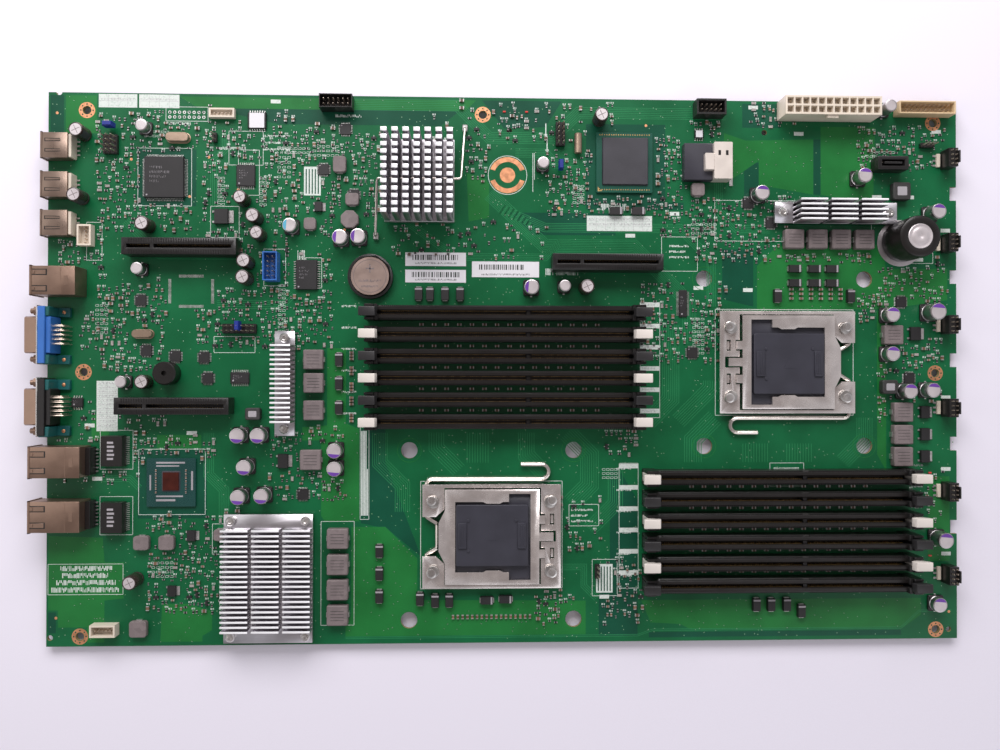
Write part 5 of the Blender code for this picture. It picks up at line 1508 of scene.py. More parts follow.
# ---- processor sockets -----------------------------------------------------------------------
POST_INSET = 4.6  # from a backplate's edge to a post's middle


def make_sockets():
    """Both sockets: frames, plates and levers, lids with their mouldings, and screw heads."""
    for letter in "ab":
        dress(f"socket_body_{letter}", "cover_plastic", 0.25)
        dress(f"socket_frame_{letter}", "nickel", 0.18)
        dress(f"load_plate_{letter}", "nickel", 0.3, segments=3)
        dress(f"backplate_{letter}", "plate_steel", 0.2)
        paint(f"load_lever_{letter}", "wire")
        low, high = plan_box(f"land_cover_{letter}")
        x, y = (low[:2] + high[:2]) / 2
        top = high[2]
        lid_top = top - 0.9
        lid = block(high[0] - low[0], high[1] - low[1],
                    ((low[2], 0.3), (low[2] + 0.3, 0), (lid_top - 0.3, 0), (lid_top, 0.3)), 0.8, 4)
        grips = [slab((x + way * 15.6 - 2.2, y - 6.8, lid_top - 0.4),
                      (x + way * 15.6 + 2.2, y + 6.8, top), 0.25) for way in (-1, 1)]
        make_piece(f"land_cover_{letter}_lid", [shifted(lid, (x, y)), *grips], "cover_plastic",
                   f"land_cover_{letter}", (f"land_cover_{letter}",))
        pips = [shifted(block(1.6, 1.6, ((lid_top - 0.1, 0), (lid_top + 0.35, 0),
                                         (lid_top + 0.45, 0.1)), 0.78, 6), (x + dx, y + dy, 0))
                for dx, dy in ((-12.5, -8), (-12.5, 8), (12.5, 8))]
        grip = [slab((x + way * 15.6 + step, y - 5.5, top - 0.04),
                     (x + way * 15.6 + step + 0.5, y + 5.5, top + 0.25), 0.08)
                for way in (-1, 1) for step in (-1.4, -0.25, 0.9)]
        arrow = ((x - 3, y - 2.4), (x + 3, y - 2.4), (x, y + 3.2))
        arrow = extruded(arrow, lid_top - 0.05, lid_top + 0.12)
        make_piece(f"land_cover_{letter}_moulding", [*pips, *grip, arrow], "cover_plastic",
                   f"land_cover_{letter}")
        low, high = plan_box(f"backplate_{letter}")
        centre, reach = (low + high)[:2] / 2, (high - low)[:2] / 2 - POST_INSET
        ways = [(way_x, way_y) for way_x in (-1, 1) for way_y in (-1, 1)]
        heads = [shape for way in ways for shape in screw_head(centre + way * reach, high[2])]
        make_piece(f"socket_screws_{letter}", heads, "bright_metal")


def screw_head(spot, top):
    """Domed screw head with a six-lobed recess edge, over the CAD head's middle."""
    dome = turned(((top - 0.3, 2.6), (top + 0.05, 2.45), (top + 0.22, 1.9), (top + 0.24, 1.35)), 28)
    lobes = ring_plate(1.3, 0.4, top + 0.2, top + 0.3, 12)
    return shifted(dome, (*spot, 0)), shifted(lobes, (*spot, 0))


# ---- heatsinks, slots, battery ---------------------------------------------------------------
EAR_TOP = 4.2  # height of the low heatsinks' screw ears


def make_heatsinks():
    """Four heatsinks with their screws, the packages under them and the pin heatsink's wire clip."""
    for node in FIN_TOPS:
        edge = 0.38 if node == "pin_heatsink" else 0.12
        dress(node, f"{node}_fins", edge, segments=1)
    low, high = plan_box("large_heatsink")
    screws = [(x, y, EAR_TOP) for y in (low[1] + 3.4, high[1] - 3.4) for x in (low[0] + 3.6,
        high[0] - 3.6)]
    low, high = plan_box("side_heatsink")
    screws += [((low[0] + high[0]) / 2, y, EAR_TOP) for y in (low[1] + 3.6, high[1] - 3.6)]
    low, high = plan_box("regulator_heatsink")
    screws += [(x, (low[1] + high[1]) / 2, EAR_TOP) for x in (low[0] + 4.4, high[0] - 4.4)]
    head = turned(((-0.2, 2.5), (1.0, 2.5), (1.6, 2.0), (1.7, 1.1), (1.2, 0.9)), 28)
    make_piece("heatsink_screws", [copies(head, screws)], "bright_metal")
    pads = []
    for node in ("side_heatsink", "large_heatsink", "regulator_heatsink"):
        low, high = plan_box(node)
        long_x = (high - low)[0] > (high - low)[1]
        count = int(max((high - low)[:2]) / 14)
        for step in spread(count, 11.5):
            x, y = (low[:2] + high[:2]) / 2 + ((step, 0) if long_x else (0, step))
            pads.append(shifted(moulding(8.4, 7.4, 0.1, 1.45, 0.2), (x, y)))
    make_piece("hidden_power_packages", pads, "resin")
    low, high = plan_box("pin_heatsink")
    left, right, across = low[0] - 3.4, high[0] + 3.6, (low + high)[1] / 2
    feet = (left - 1.6, across - 28.5), (right + 2.0, across + 29.5)
    corners = ((*feet[0], 0.5), (*feet[0], 3.5), (left, across, 11.5), (left + 5, across, 11.5),
               (right - 5, across, 11.5), (right, across, 11.5), (*feet[1], 3.5), (*feet[1], 0.5))
    make_piece("pin_heatsink_clip", [tube(rounded_path(corners, 1.6, 6), 0.7, 10, (0.3, 1, 0.2))],
               "wire")
    TINNED_FEET.extend(slab((x - 1.4, y - 1.8, 0), (x + 1.4, y + 1.8, 2.4), 0.3) for x, y in feet)
    plan.fill_round(feet, 4.5, 6)


def make_card_slots():
    """Three card slots with ribs and two rows of contacts."""
    for number in (1, 2, 3):
        node = f"card_slot_{number}"
        dress(node, "black_plastic", 0.25)
        low, high = plan_box(node)
        centre = (low + high) / 2
        count = int((high[0] - low[0]) / CARD_PITCH) - 4
        places = np.column_stack((spread(count, CARD_PITCH), np.zeros(count))) + centre[:2]
        rib = slab((-0.22, 1.9, high[2] - 1.0), (0.22, 3.9, high[2] + 0.18))
        make_piece(f"{node}_ribs", [copies(rib, places), copies(rib, places, 180)], "slot_plastic")
        contact = slab((-0.2, 0.85, 3.6), (0.2, 1.1, high[2] - 2.4))
        make_piece(f"{node}_contacts", [copies(contact, places), copies(contact, places, 180)], "gold")


def make_battery():
    """Coin cell with its stamped face, and its holder."""
    paint("battery", "cell")
    dress("battery_holder", "black_plastic", 0.25)
    low, high = plan_box("battery")
    x, y = ((low + high) / 2)[:2]
    top = high[2]
    rim = ring_plate(8.7, 8.45, top - 0.05, top + 0.06, 64)
    plus = [slab((x - 2.2, y + 3.6, top - 0.02), (x + 2.2, y + 4.3, top + 0.05)),
            slab((x - 0.35, y + 1.7, top - 0.02), (x + 0.35, y + 6.2, top + 0.05))]
    lines = [shifted(scribble(x - 6, y - 3.2, 12, 1.3, 5, 0.3), (0, 0, top)),
             shifted(scribble(x - 4.5, y - 6.0, 9, 1.1, 6, 0.3), (0, 0, top))]
    make_piece("battery_stamping", [shifted(rim, (x, y)), *plus, *lines], "ferrite", "battery")
    low, high = plan_box("battery_holder")
    plan.fill(low - 0.5, high + 0.5)


# ---- connectors and ports --------------------------------------------------------------------
RIM_FOOT = 0.6  # height of a port mouth's lower rim over the board


def make_power_connector():
    """Housing, sleeves and pocket steps of the power connector."""
    dress("power_connector_24", "white_nylon", 0.22)
    low, high = plan_box("power_connector_24")
    y = high[1] - 5.1
    places = grid(12, 2, 4.2, 4.2) + ((low[0] + high[0]) / 2, y)
    sleeve = turned(((0.3, 0.9), (high[2] - 3.4, 0.9), (high[2] - 3.0, 0.7)), 10)
    make_piece("power_pins", [copies(sleeve, places)], "warm_tin")
    step = slab((-1.65, -1.65, high[2] - 4.4), (1.65, 1.65, high[2] - 3.7))
    make_piece("power_pocket_steps", [copies(step, places)], "white_nylon")


def make_edge_connectors():
    """Ribbon header, upright disk connector, and the wide one with its cage."""
    dress("ribbon_header", "tan_nylon", 0.25)
    low, high = plan_box("ribbon_header")
    x, y = ((low + high) / 2)[:2]
    pins = copies(block(PIN_SIDE, PIN_SIDE, ((0.3, 0), (7.2, 0), (7.6, 0.16))),
                  grid(10, 2, PIN_PITCH, PIN_PITCH) + (x, y))
    dress("disk_connector", "black_plastic", 0.22)
    low, high = plan_box("disk_connector")
    x, y = ((low + high) / 2)[:2]
    blades = copies(slab((-0.25, 0.3, 1), (0.25, 0.75, high[2] - 1.6)),
                    grid(7, 1, 1.27, 1) + (x - 3, y))
    dress("wide_disk_connector", "slate_plastic", 0.22)
    low, high = plan_box("wide_disk_connector")
    cage_x = high[0] - 4.9
    top = high[2]
    cage = block(9.8, high[1] - low[1] + 0.1, ((0.35, -0.05), (top - 0.1, -0.05), (top + 0.06, 0.12)),
                 0.5, 3)
    make_piece("disk_cage", [shifted(cage, (cage_x, (low + high)[1] / 2, 0))], "cage_metal")
    slots = [slab((cage_x - 2.8 + step, high[1] - 7, top + 0.04),
                  (cage_x - 1.4 + step, high[1] - 4.4, top + 0.1)) for step in (0, 4.0)]
    make_piece("disk_cage_windows", slots, "black_plastic")
    tongue = slab((cage_x - 9.8, low[1] + 4.5, 5.4), (cage_x - 4.8, low[1] + 13.5, 9.2), 0.3)
    make_piece("disk_tongue", [tongue], "cage_metal")
    make_piece("connector_pins", [pins, blades], "warm_tin")
    TINNED_FEET.append(slab((cage_x + 5.6, low[1] - 2, 0), (cage_x + 7.4, high[1] + 1.5, 0.8)))


def mouth_rim(low, high, ahead, behind, over, lift, floor, sink, wall):
    """Flared rim round a port's mouth: floor, roof and two sides, each standing over the shell."""
    front, back, top = low[0] - ahead, low[0] + behind, high[2] + lift
    y0, y1 = low[1] - over, high[1] + over
    return [
        slab((front, y0, RIM_FOOT), (back, y1, floor)),
        slab((front, y0, high[2] - sink), (back, y1, top)),
        slab((front, y0, RIM_FOOT), (back, low[1] + wall, top)),
        slab((front, high[1] - wall, RIM_FOOT), (back, y1, top)),
    ]


def make_usb_ports():
    """Three shielded ports: shell, cut-outs and leaf springs in the roof, rim, insulator and feet."""
    cut_out = outward(extruded(((1.6, -0.9), (9.6, -0.7), (9.6, 0.7), (1.6, 0.9)), -0.02, 0.05))
    leaf = ((2.1, -0.55), (8.6, -0.35), (9.7, -0.35), (9.7, 0.35), (8.6, 0.35), (2.1, 0.55))
    leaf = outward(extruded(leaf, 0.03, 0.12))
    for number in (1, 2, 3):
        node = f"usb_port_{number}"
        dress(node, "usb_metal", 0.25)
        low, high = plan_box(node)
        x, y = low[0], (low[1] + high[1]) / 2
        top = high[2]
        cut = [shifted(cut_out, (x, y + side, top)) for side in (-2.7, 2.7)]
        spring = [shifted(leaf, (x, y + side, top)) for side in (-2.7, 2.7)]
        make_piece(f"{node}_slots", cut, "black_plastic")
        lips = mouth_rim(low, high, 0.5, 0.35, 0.35, 0.22, 1.0, 0.1, 0.05)
        make_piece(f"{node}_springs", [*spring, *lips], "usb_metal")
        rear = [slab((high[0] + 0.05, low[1] + 0.6, 0.2), (high[0] + 1.6, high[1] - 0.6, top - 0.8),
                     0.2)]
        make_piece(f"{node}_insulator", rear, "white_nylon")
        TINNED_FEET.append(copies(slab((0, -0.4, 0), (1.6, 0.4, 0.6)),
                                  [(high[0] + 1.7, y + step) for step in (-3.5, -1.2, 1.2, 3.5)]))
        plan.fill((low[0], low[1] - 0.5), (high[0] + 3.8, high[1] + 0.5))


def make_jack_ports():
    """Three jacks: shell, two roof springs, seams, rim and rear."""
    for node, pins in (("lan_port_1", True), ("lan_port_2", True), ("service_port", False)):
        dress(node, "port_metal", 0.28)
        low, high = plan_box(node)
        x, y, top = low[0], (low[1] + high[1]) / 2, high[2]
        tab, gap = [], []
        for side in (-4.2, 4.2):
            gap.append(slab((x + 0.6, y + side - 1.6, top - 0.02),
                            (x + 8.2, y + side + 1.6, top + 0.05)))
            tab.append(slab((x + 0.4, y + side - 1.15, top + 0.02),
                            (x + 7.6, y + side + 1.15, top + 0.2), 0.08))
            tab.append(slab((x + 1.0, y + side - 0.8, top + 0.15),
                            (x + 2.2, y + side + 0.8, top + 0.5), 0.15))
        make_piece(f"{node}_gaps", gap, "black_plastic")
        seam = [slab((high[0] - 7.4, low[1] + 0.5, top - 0.02),
                     (high[0] - 7.1, high[1] - 0.5, top + 0.06)),
                slab((high[0] - 5.4, y - 2.4, top - 0.02), (high[0] - 3.4, y + 2.4, top + 0.12), 0.05)]
        rims = mouth_rim(low, high, 0.6, 0.3, 0.4, 0.25, 1.1, 0.15, 0.1)
        make_piece(f"{node}_springs", [*tab, *seam, *rims], "port_metal")
        if pins:
            make_piece(f"{node}_rear", [slab((high[0] + 0.05, low[1] + 0.8, 0.2),
                (high[0] + 2.6, high[1] - 0.8, 7.6), 0.2)], "black_plastic")
            TINNED_FEET.append(copies(slab((0, -0.35, 0), (1.1, 0.35, 1.3)),
                                      [(high[0] + 2.8, y + step) for step in spread(7, 1.9)]))
        plan.fill((low[0], low[1] - 0.5), (high[0] + 4.2, high[1] + 0.5))


BRACKETS = ((172.8, 177.7), (148.1, 152.9), (134.7, 140.1), (110.6, 115.9))  # low and high Y of each


def make_d_ports():
    """Two D-shell ports: shell, flange, coloured body, jack nuts and the pins bent down behind."""
    for node, finish_name in (("video_port", "blue_plastic"), ("serial_port", "black_plastic")):
        low, high = plan_box(node)
        y, middle = (low[1] + high[1]) / 2, 6.6
        half = (high[1] - low[1]) / 2
        outline = np.array(((-8.4, -3.9), (-8.9, -3.2), (-9.4, 3.0), (-8.8, 4.1), (8.8, 4.1),
                            (9.4, 3.0), (8.9, -3.2), (8.4, -3.9)))[::-1]
        rings = []
        for x, grow in ((0.6, 0.35), (-0.2, 0.1), (low[0] + 0.5, 0.1), (low[0] + 0.1, 0.0),
                        (low[0] + 0.1, -0.5), (-1.6, -0.5)):
            ring = outline * (1 + grow / 9, 1 + grow / 4) + (y, middle)
            rings.append(np.column_stack((np.full(len(ring), x), ring)))
        shell = outward(skin(rings))
        flange = slab((0.2, low[1] + 0.15, 0.9), (0.9, high[1] - 0.15, high[2] - 0.5), 0.15)
        nuts = []
        for side in (-12.5, 12.5):
            nuts.append(outward(extruded(disc(2.5, 6, 0.5) + (y + side, middle), -3.0, 0.5, 0)))
            nuts.append(outward(extruded(disc(1.4, 16) + (y + side, middle), -4.9, -2.9, 0)))
        make_piece(f"{node}_shell", [shell, *nuts], "port_metal", replaces=(node,))
        make_piece(f"{node}_flange", [flange], "bright_metal")
        body = [slab((0.95, y - half + 0.6, 0.3), (4.6, y + half - 0.6, high[2] - 0.3), 0.3),
                slab((4.5, y - 9.4, 0.4), (7.0, y + 9.4, high[2] - 1.6), 0.3)]
        make_piece(f"{node}_body", body, finish_name)
        face = slab((-4.6, y - 7.6, middle - 2.6), (-1.4, y + 7.6, middle + 2.7), 0.4)
        make_piece(f"{node}_face", [face], finish_name)
        bends = []
        for row in range(3 if node == "video_port" else 2):
            path = rounded_path(((6.8, 0, 8.6 - 2 * row), (9.4 + 1.6 * (2 - row), 0, 8.6 - 2 * row),
                                 (9.4 + 1.6 * (2 - row), 0, 0)), 0.8, 4)
            spots = [(0, y + step + 0.7 * (row % 2)) for step in spread(5, 2.3)]
            bends.append(copies(tube(path, 0.28, 6, (0, 1, 0)), spots))
        make_piece(f"{node}_pins", bends, "warm_tin")
        plan.fill((0, low[1] - 1), (high[0] + 4, high[1] + 1))
    steps = [[slab((4.0, y0, 0.1), (12.6, y1, 2.2), 0.3),
              slab((0.95, y0, 0.1), (6.4, y1, 11.6), 0.35)] for y0, y1 in BRACKETS]
    make_piece("port_brackets", [shape for pair in steps for shape in pair], "teal_plastic")
    rivets = np.array([(9.6, (y0 + y1) / 2, 2.1) for y0, y1 in BRACKETS])
    make_piece("bracket_rivets", [copies(turned(((0, 1.0), (0.4, 0.9), (0.6, 0.5)), 18), rivets)],
               "copper")
    for y0, y1 in BRACKETS:
        plan.fill((0, y0 - 0.5), (13.5, y1 + 0.5))


def make_underside():
    """Solder tails of the through parts, seen from below."""
    dome = turned(((-BOARD_THICKNESS - 0.9, 0.15), (-BOARD_THICKNESS - 0.5, 0.45),
                   (-BOARD_THICKNESS + 0.02, 0.8)), 8)
    places = [np.concatenate([grid(60, 2, 2.2, 2.6) + (centre, y) for y in rows]) for centre,
              rows in ((240.5, DIMM_ROWS), (387.6, BANK_B_ROWS))]
    for node in ("card_slot_1", "card_slot_2", "card_slot_3"):
        low, high = plan_box(node)
        places.append(grid(22, 2, 2.54, 4.0) + (low + high)[:2] / 2)
    for node, columns, rows, pitch_x, pitch_y in (("power_connector_24", 12, 2, 4.2, 4.2),
                                                  ("ribbon_header", 10, 2, PIN_PITCH, PIN_PITCH),
                                                  ("video_port", 2, 8, 3.0, 2.3),
                                                  ("serial_port", 2, 5, 3.0, 2.8)):
        low, high = plan_box(node)
        places.append(grid(columns, rows, pitch_x, pitch_y) + (low + high)[:2] / 2)
    make_piece("solder_tails", [copies(dome, np.concatenate(places))], "tin")
    cell = -BOARD_THICKNESS
    random = np.random.default_rng(21)
    spots = np.column_stack((random.uniform(20, BOARD_LENGTH - 20, 700),
                             random.uniform(15, BOARD_WIDTH - 15, 700)))
    clear = np.ones(len(spots), bool)
    for letter in "ab":
        low, high = plan_box(f"backplate_{letter}")
        clear &= ~((spots > low[:2] - 2) & (spots < high[:2] + 2)).all(1)
    for x, y in (*MOUNT_HOLES, *cooler_holes()):
        clear &= np.hypot(spots[:, 0] - x, spots[:, 1] - y) > 8
    spots = spots[clear]
    under = np.column_stack((spots, np.full(len(spots), cell - 0.75)))
    body, ends = chip_part(1.8, 1.0, 0.75, 0.4)
    turns = random.choice((0.0, 90.0), len(under))
    make_piece("underside_capacitors", [copies(body, under, turns)], "tan_ceramic")
    make_piece("underside_capacitor_ends", [copies(ends, under, turns)], "tin")


# ---- stage -----------------------------------------------------------------------------------
def area_light(name, place, aim, size, power, colour):
    data = bpy.data.lights.new(name, "AREA")
    data.shape, data.size, data.size_y = "RECTANGLE", size[0], size[1]
    data.energy, data.color = power, colour
    lamp = bpy.data.objects.new(name, data)
    bpy.context.scene.collection.objects.link(lamp)
    lamp.location = place
    lamp.rotation_euler = (Vector(aim) - Vector(place)).to_track_quat("-Z", "Y").to_euler()
    lamp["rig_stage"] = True


def make_stage(look):
    """Pale table, one broad soft light from the far side, and a camera straight above."""
    size = look.floor_size
    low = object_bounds()[0][2] - look.floor_drop
    sheet = np.linspace(-0.5, 0.5, 41)
    x, y = np.meshgrid(sheet * size, sheet * size)
    dip = 0.0002 * np.sin(x * 9) * np.sin(y * 7)
    points = np.column_stack((x.ravel(), y.ravel(), (low + dip - 0.0002).ravel()))
    index = np.arange(41 * 41).reshape(41, 41)
    quads = np.stack((index[:-1, :-1], index[:-1, 1:], index[1:, 1:], index[1:, :-1]), -1)
    mesh = bpy.data.meshes.new("table")
    mesh.from_pydata(points.tolist(), [], quads.reshape(-1, 4).tolist())
    mesh.materials.append(coat("floor"))
    mesh.shade_smooth()
    table = bpy.data.objects.new("table", mesh)
    bpy.context.scene.collection.objects.link(table)
    table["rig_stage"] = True

    area_light("far_softbox", (-0.1, 0.75, 0.62), (0, 0.05, 0), (1.1, 0.5), look.key_power,
               (1.0, 0.97, 0.98))
    area_light("near_fill", (0.5, -0.7, 0.7), (0, 0, 0), (0.9, 0.6), look.fill_power, (0.93, 0.94, 1.0))
    area_light("left_fill", (-0.85, -0.05, 0.5), (-0.1, 0, 0), (0.5, 0.7), look.fill_power * 0.7,
               (1.0, 0.98, 0.96))

    world = bpy.data.worlds.new("studio")
    world.use_nodes = True
    tree = world.node_tree
    spot = tree.nodes.new("ShaderNodeTexCoord")
    split = tree.nodes.new("ShaderNodeSeparateXYZ")
    ramp = tree.nodes.new("ShaderNodeValToRGB")
    tree.links.new(spot.outputs["Generated"], split.inputs[0])
    tree.links.new(split.outputs["Z"], ramp.inputs[0])
    floor_stop, roof_stop = ramp.color_ramp.elements
    floor_stop.position, floor_stop.color = 0.35, (0.95, 0.93, 0.97, 1)
    roof_stop.position, roof_stop.color = 0.98, (0.42, 0.36, 0.35, 1)
    middle = ramp.color_ramp.elements.new(0.8)
    middle.color = (0.8, 0.77, 0.8, 1)
    back = tree.nodes["Background"]
    tree.links.new(ramp.outputs[0], back.inputs[0])
    back.inputs[1].default_value = look.sky_power
    bpy.context.scene.world = world
    bpy.context.scene.view_settings.view_transform = "Standard"

    data = bpy.data.cameras.new("camera_above")
    data.lens, data.sensor_width = look.lens, 36.0
    camera = bpy.data.objects.new("camera_above", data)
    bpy.context.scene.collection.objects.link(camera)
    camera.location = Vector((-0.02095, -0.00567, look.camera_height))
    camera.rotation_euler = (0.0062, -0.0345, 0.0012)
    bpy.context.scene.camera = camera


# ---- settings, operators and panel -----------------------------------------------------------
def colour_property(name, description, default):
    return bpy.props.FloatVectorProperty(
        name=name, description=description, default=default, subtype="COLOR", size=3, min=0.0, max=1.0
    )


class BoardLook(bpy.types.PropertyGroup):
    mask_colour: colour_property("Mask", "Solder mask over bare laminate", (0.004, 0.105, 0.036))
    pour_colour: colour_property("Mask over copper", "Solder mask where copper lies under it",
                                 (0.012, 0.15, 0.032))
    track_colour: colour_property("Mask over tracks", "Solder mask along the tracks",
                                  (0.02, 0.19, 0.07))
    deep_colour: colour_property("Dark mask", "Solder mask over the darker areas",
                                 (0.003, 0.065, 0.034))
    ink_colour: colour_property("Printing", "White board printing", (0.6, 0.65, 0.61))
    laminate_colour: colour_property("Laminate", "Bare edge of the board", (0.25, 0.2, 0.1))
    copper_colour: colour_property("Copper", "Bare plated copper", (0.72, 0.34, 0.18))
    nickel_colour: colour_property("Nickel", "Socket frames and plates", (0.86, 0.8, 0.77))
    floor_colour: colour_property("Table", "Table top", (0.8, 0.77, 0.86))
    part_density: bpy.props.FloatProperty(
        name="Part density", description="Share of the small-part count to place", default=1.35,
        min=0.1, max=1.5
    )
    scatter_seed: bpy.props.IntProperty(name="Seed", description="Seed of the small parts' places",
                                        default=11, min=0)
    floor_size: bpy.props.FloatProperty(
        name="Table size", description="Side of the table top", default=5.0, unit="LENGTH", min=1.0
    )
    floor_drop: bpy.props.FloatProperty(
        name="Table drop", description="Gap under the lowest point", default=0.0002, unit="LENGTH",
        min=0.0
    )
    key_power: bpy.props.FloatProperty(name="Key", description="Watts of the far soft light",
                                       default=13.0, min=0.0)
    fill_power: bpy.props.FloatProperty(name="Fill", description="Watts of the near soft light",
                                        default=1.6, min=0.0)
    sky_power: bpy.props.FloatProperty(name="Sky", description="Strength of the studio walls",
                                       default=0.5, min=0.0)
    lens: bpy.props.FloatProperty(name="Lens", description="Focal length in millimetres", default=29.94,
                                  min=10.0)
    camera_height: bpy.props.FloatProperty(
        name="Camera height", description="Height of the camera", default=0.4468, unit="LENGTH", min=0.1
    )


class BoardOperator:
    bl_options = {"REGISTER"}


class SERVERBOARD_OT_surface(BoardOperator, bpy.types.Operator):
    """Paint the board and add its coloured areas, tracks and copper rings"""

    bl_idname = "server_board.surface"
    bl_label = "Board surface"

    def execute(self, context):
        make_board_surface()
        return {"FINISHED"}


class SERVERBOARD_OT_printing(BoardOperator, bpy.types.Operator):
    """Add white printing, labels and their marks"""

    bl_idname = "server_board.printing"
    bl_label = "Printing"

    def execute(self, context):
        make_printing()
        return {"FINISHED"}


class SERVERBOARD_OT_memory_slots(BoardOperator, bpy.types.Operator):
    """Build twelve memory slots and finish their latches"""

    bl_idname = "server_board.memory_slots"
    bl_label = "Memory slots"

    def execute(self, context):
        make_memory_slots()
        return {"FINISHED"}


class SERVERBOARD_OT_sockets(BoardOperator, bpy.types.Operator):
    """Finish both sockets and add their screws and cover mouldings"""

    bl_idname = "server_board.sockets"
    bl_label = "Processor sockets"

    def execute(self, context):
        make_sockets()
        return {"FINISHED"}


class SERVERBOARD_OT_heatsinks(BoardOperator, bpy.types.Operator):
    """Finish four heatsinks and add their screws, clip and packages"""

    bl_idname = "server_board.heatsinks"
    bl_label = "Heatsinks"

    def execute(self, context):
        make_heatsinks()
        return {"FINISHED"}


class SERVERBOARD_OT_card_slots(BoardOperator, bpy.types.Operator):
    """Finish three card slots and add ribs and contacts"""

    bl_idname = "server_board.card_slots"
    bl_label = "Card slots"

    def execute(self, context):
        make_card_slots()
        return {"FINISHED"}


class SERVERBOARD_OT_battery(BoardOperator, bpy.types.Operator):
    """Finish the coin cell and its holder"""

    bl_idname = "server_board.battery"
    bl_label = "Battery"

    def execute(self, context):
        make_battery()
        return {"FINISHED"}


class SERVERBOARD_OT_power_connector(BoardOperator, bpy.types.Operator):
    """Finish the power connector and add its pins"""

    bl_idname = "server_board.power_connector"
    bl_label = "Power connector"

    def execute(self, context):
        make_power_connector()
        return {"FINISHED"}


class SERVERBOARD_OT_edge_connectors(BoardOperator, bpy.types.Operator):
    """Finish the ribbon header and the two disk connectors"""

    bl_idname = "server_board.edge_connectors"
    bl_label = "Edge connectors"

    def execute(self, context):
        make_edge_connectors()
        return {"FINISHED"}


class SERVERBOARD_OT_usb_ports(BoardOperator, bpy.types.Operator):
    """Finish three shielded ports and add their springs"""

    bl_idname = "server_board.usb_ports"
    bl_label = "Serial bus ports"

    def execute(self, context):
        make_usb_ports()
        return {"FINISHED"}


class SERVERBOARD_OT_jack_ports(BoardOperator, bpy.types.Operator):
    """Finish three jacks and add their springs"""

    bl_idname = "server_board.jack_ports"
    bl_label = "Network jacks"

    def execute(self, context):
        make_jack_ports()
        return {"FINISHED"}


class SERVERBOARD_OT_d_ports(BoardOperator, bpy.types.Operator):
    """Finish two D-shell ports, their nuts and brackets"""

    bl_idname = "server_board.d_ports"
    bl_label = "Video and serial ports"

    def execute(self, context):
        make_d_ports()
        return {"FINISHED"}


class SERVERBOARD_OT_electrolytics(BoardOperator, bpy.types.Operator):
    """Build the cans, their bases and marks, and the buzzer"""

    bl_idname = "server_board.electrolytics"
    bl_label = "Electrolytic capacitors"

    def execute(self, context):
        make_electrolytics()
        return {"FINISHED"}


class SERVERBOARD_OT_chips(BoardOperator, bpy.types.Operator):
    """Build packages, their leads and balls, crystals and bare pads"""

    bl_idname = "server_board.chips"
    bl_label = "Chips"

    def execute(self, context):
        make_chips()
        return {"FINISHED"}


class SERVERBOARD_OT_inductors(BoardOperator, bpy.types.Operator):
    """Build the square and round inductors"""

    bl_idname = "server_board.inductors"
    bl_label = "Inductors"

    def execute(self, context):
        make_inductors()
        return {"FINISHED"}


class SERVERBOARD_OT_tantalums(BoardOperator, bpy.types.Operator):
    """Build the tantalum and filter capacitors"""

    bl_idname = "server_board.tantalums"
    bl_label = "Tantalum and filter capacitors"

    def execute(self, context):
        make_tantalums()
        return {"FINISHED"}


class SERVERBOARD_OT_headers(BoardOperator, bpy.types.Operator):
    """Build pin headers, jumpers and fan connectors"""

    bl_idname = "server_board.headers"
    bl_label = "Headers"

    def execute(self, context):
        make_headers()
        return {"FINISHED"}


class SERVERBOARD_OT_small_parts(BoardOperator, bpy.types.Operator):
    """Scatter small chips, transistors, vias and marks in the room left"""

    bl_idname = "server_board.small_parts"
    bl_label = "Small parts"

    def execute(self, context):
        scatter_small_parts(context.scene.board_look)
        return {"FINISHED"}


class SERVERBOARD_OT_underside(BoardOperator, bpy.types.Operator):
    """Add solder tails and capacitors under the board"""

    bl_idname = "server_board.underside"
    bl_label = "Underside"

    def execute(self, context):
        make_underside()
        return {"FINISHED"}


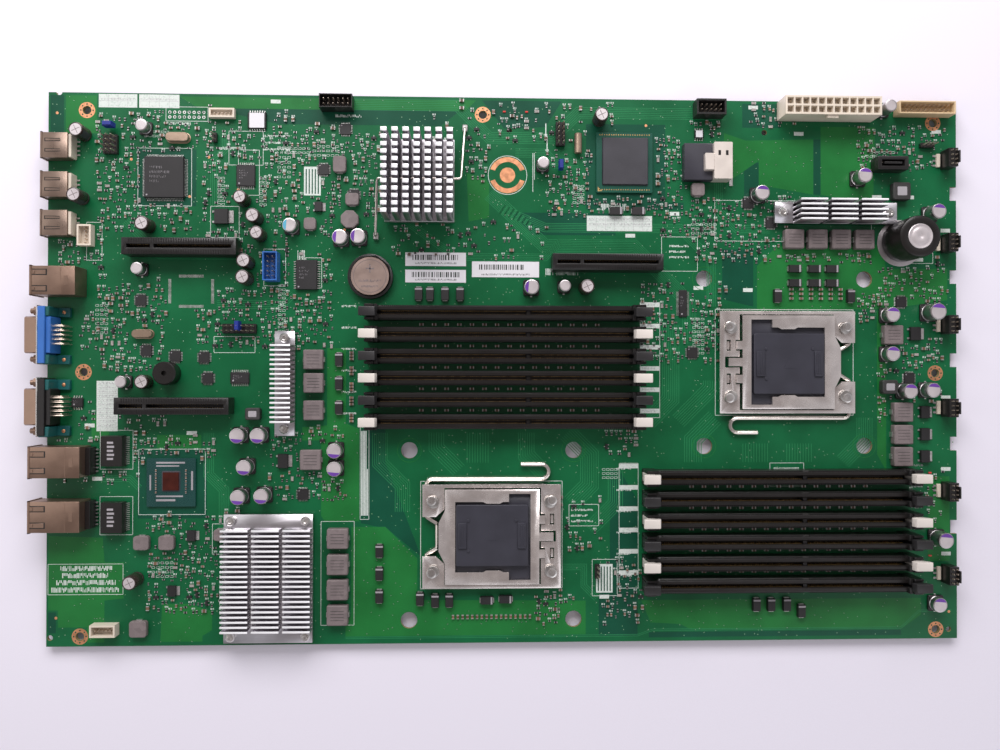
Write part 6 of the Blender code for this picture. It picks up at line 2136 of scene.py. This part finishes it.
class SERVERBOARD_OT_feet(BoardOperator, bpy.types.Operator):
    """Gather the larger parts' tinned feet into one piece"""

    bl_idname = "server_board.feet"
    bl_label = "Tinned feet"

    def execute(self, context):
        make_piece("tinned_feet", TINNED_FEET, "tin")
        return {"FINISHED"}


class SERVERBOARD_OT_stage(BoardOperator, bpy.types.Operator):
    """Add the table, lights, walls and camera"""

    bl_idname = "server_board.stage"
    bl_label = "Stage"

    def execute(self, context):
        make_stage(context.scene.board_look)
        return {"FINISHED"}


OPERATORS = (
    SERVERBOARD_OT_surface,
    SERVERBOARD_OT_printing,
    SERVERBOARD_OT_memory_slots,
    SERVERBOARD_OT_sockets,
    SERVERBOARD_OT_heatsinks,
    SERVERBOARD_OT_card_slots,
    SERVERBOARD_OT_battery,
    SERVERBOARD_OT_power_connector,
    SERVERBOARD_OT_edge_connectors,
    SERVERBOARD_OT_usb_ports,
    SERVERBOARD_OT_jack_ports,
    SERVERBOARD_OT_d_ports,
    SERVERBOARD_OT_electrolytics,
    SERVERBOARD_OT_chips,
    SERVERBOARD_OT_inductors,
    SERVERBOARD_OT_tantalums,
    SERVERBOARD_OT_headers,
    SERVERBOARD_OT_small_parts,
    SERVERBOARD_OT_underside,
    SERVERBOARD_OT_feet,
    SERVERBOARD_OT_stage,
)


class SERVERBOARD_PT_panel(bpy.types.Panel):
    """Every group's button, then the look's settings"""

    bl_idname = "SERVERBOARD_PT_panel"
    bl_label = "Server board"
    bl_space_type = "VIEW_3D"
    bl_region_type = "UI"
    bl_category = "Board"

    def draw(self, context):
        for kind in OPERATORS:
            self.layout.operator(kind.bl_idname)
        for key in BoardLook.__annotations__:
            self.layout.prop(context.scene.board_look, key)


def register():
    for kind in (BoardLook, *OPERATORS, SERVERBOARD_PT_panel):
        bpy.utils.register_class(kind)
    bpy.types.Scene.board_look = bpy.props.PointerProperty(type=BoardLook)


def unregister():
    del bpy.types.Scene.board_look
    for kind in reversed((BoardLook, *OPERATORS, SERVERBOARD_PT_panel)):
        bpy.utils.unregister_class(kind)


def main():
    register()
    for kind in OPERATORS:
        space, name = kind.bl_idname.split(".")
        getattr(getattr(bpy.ops, space), name)()


if __name__ == "__main__":
    main()
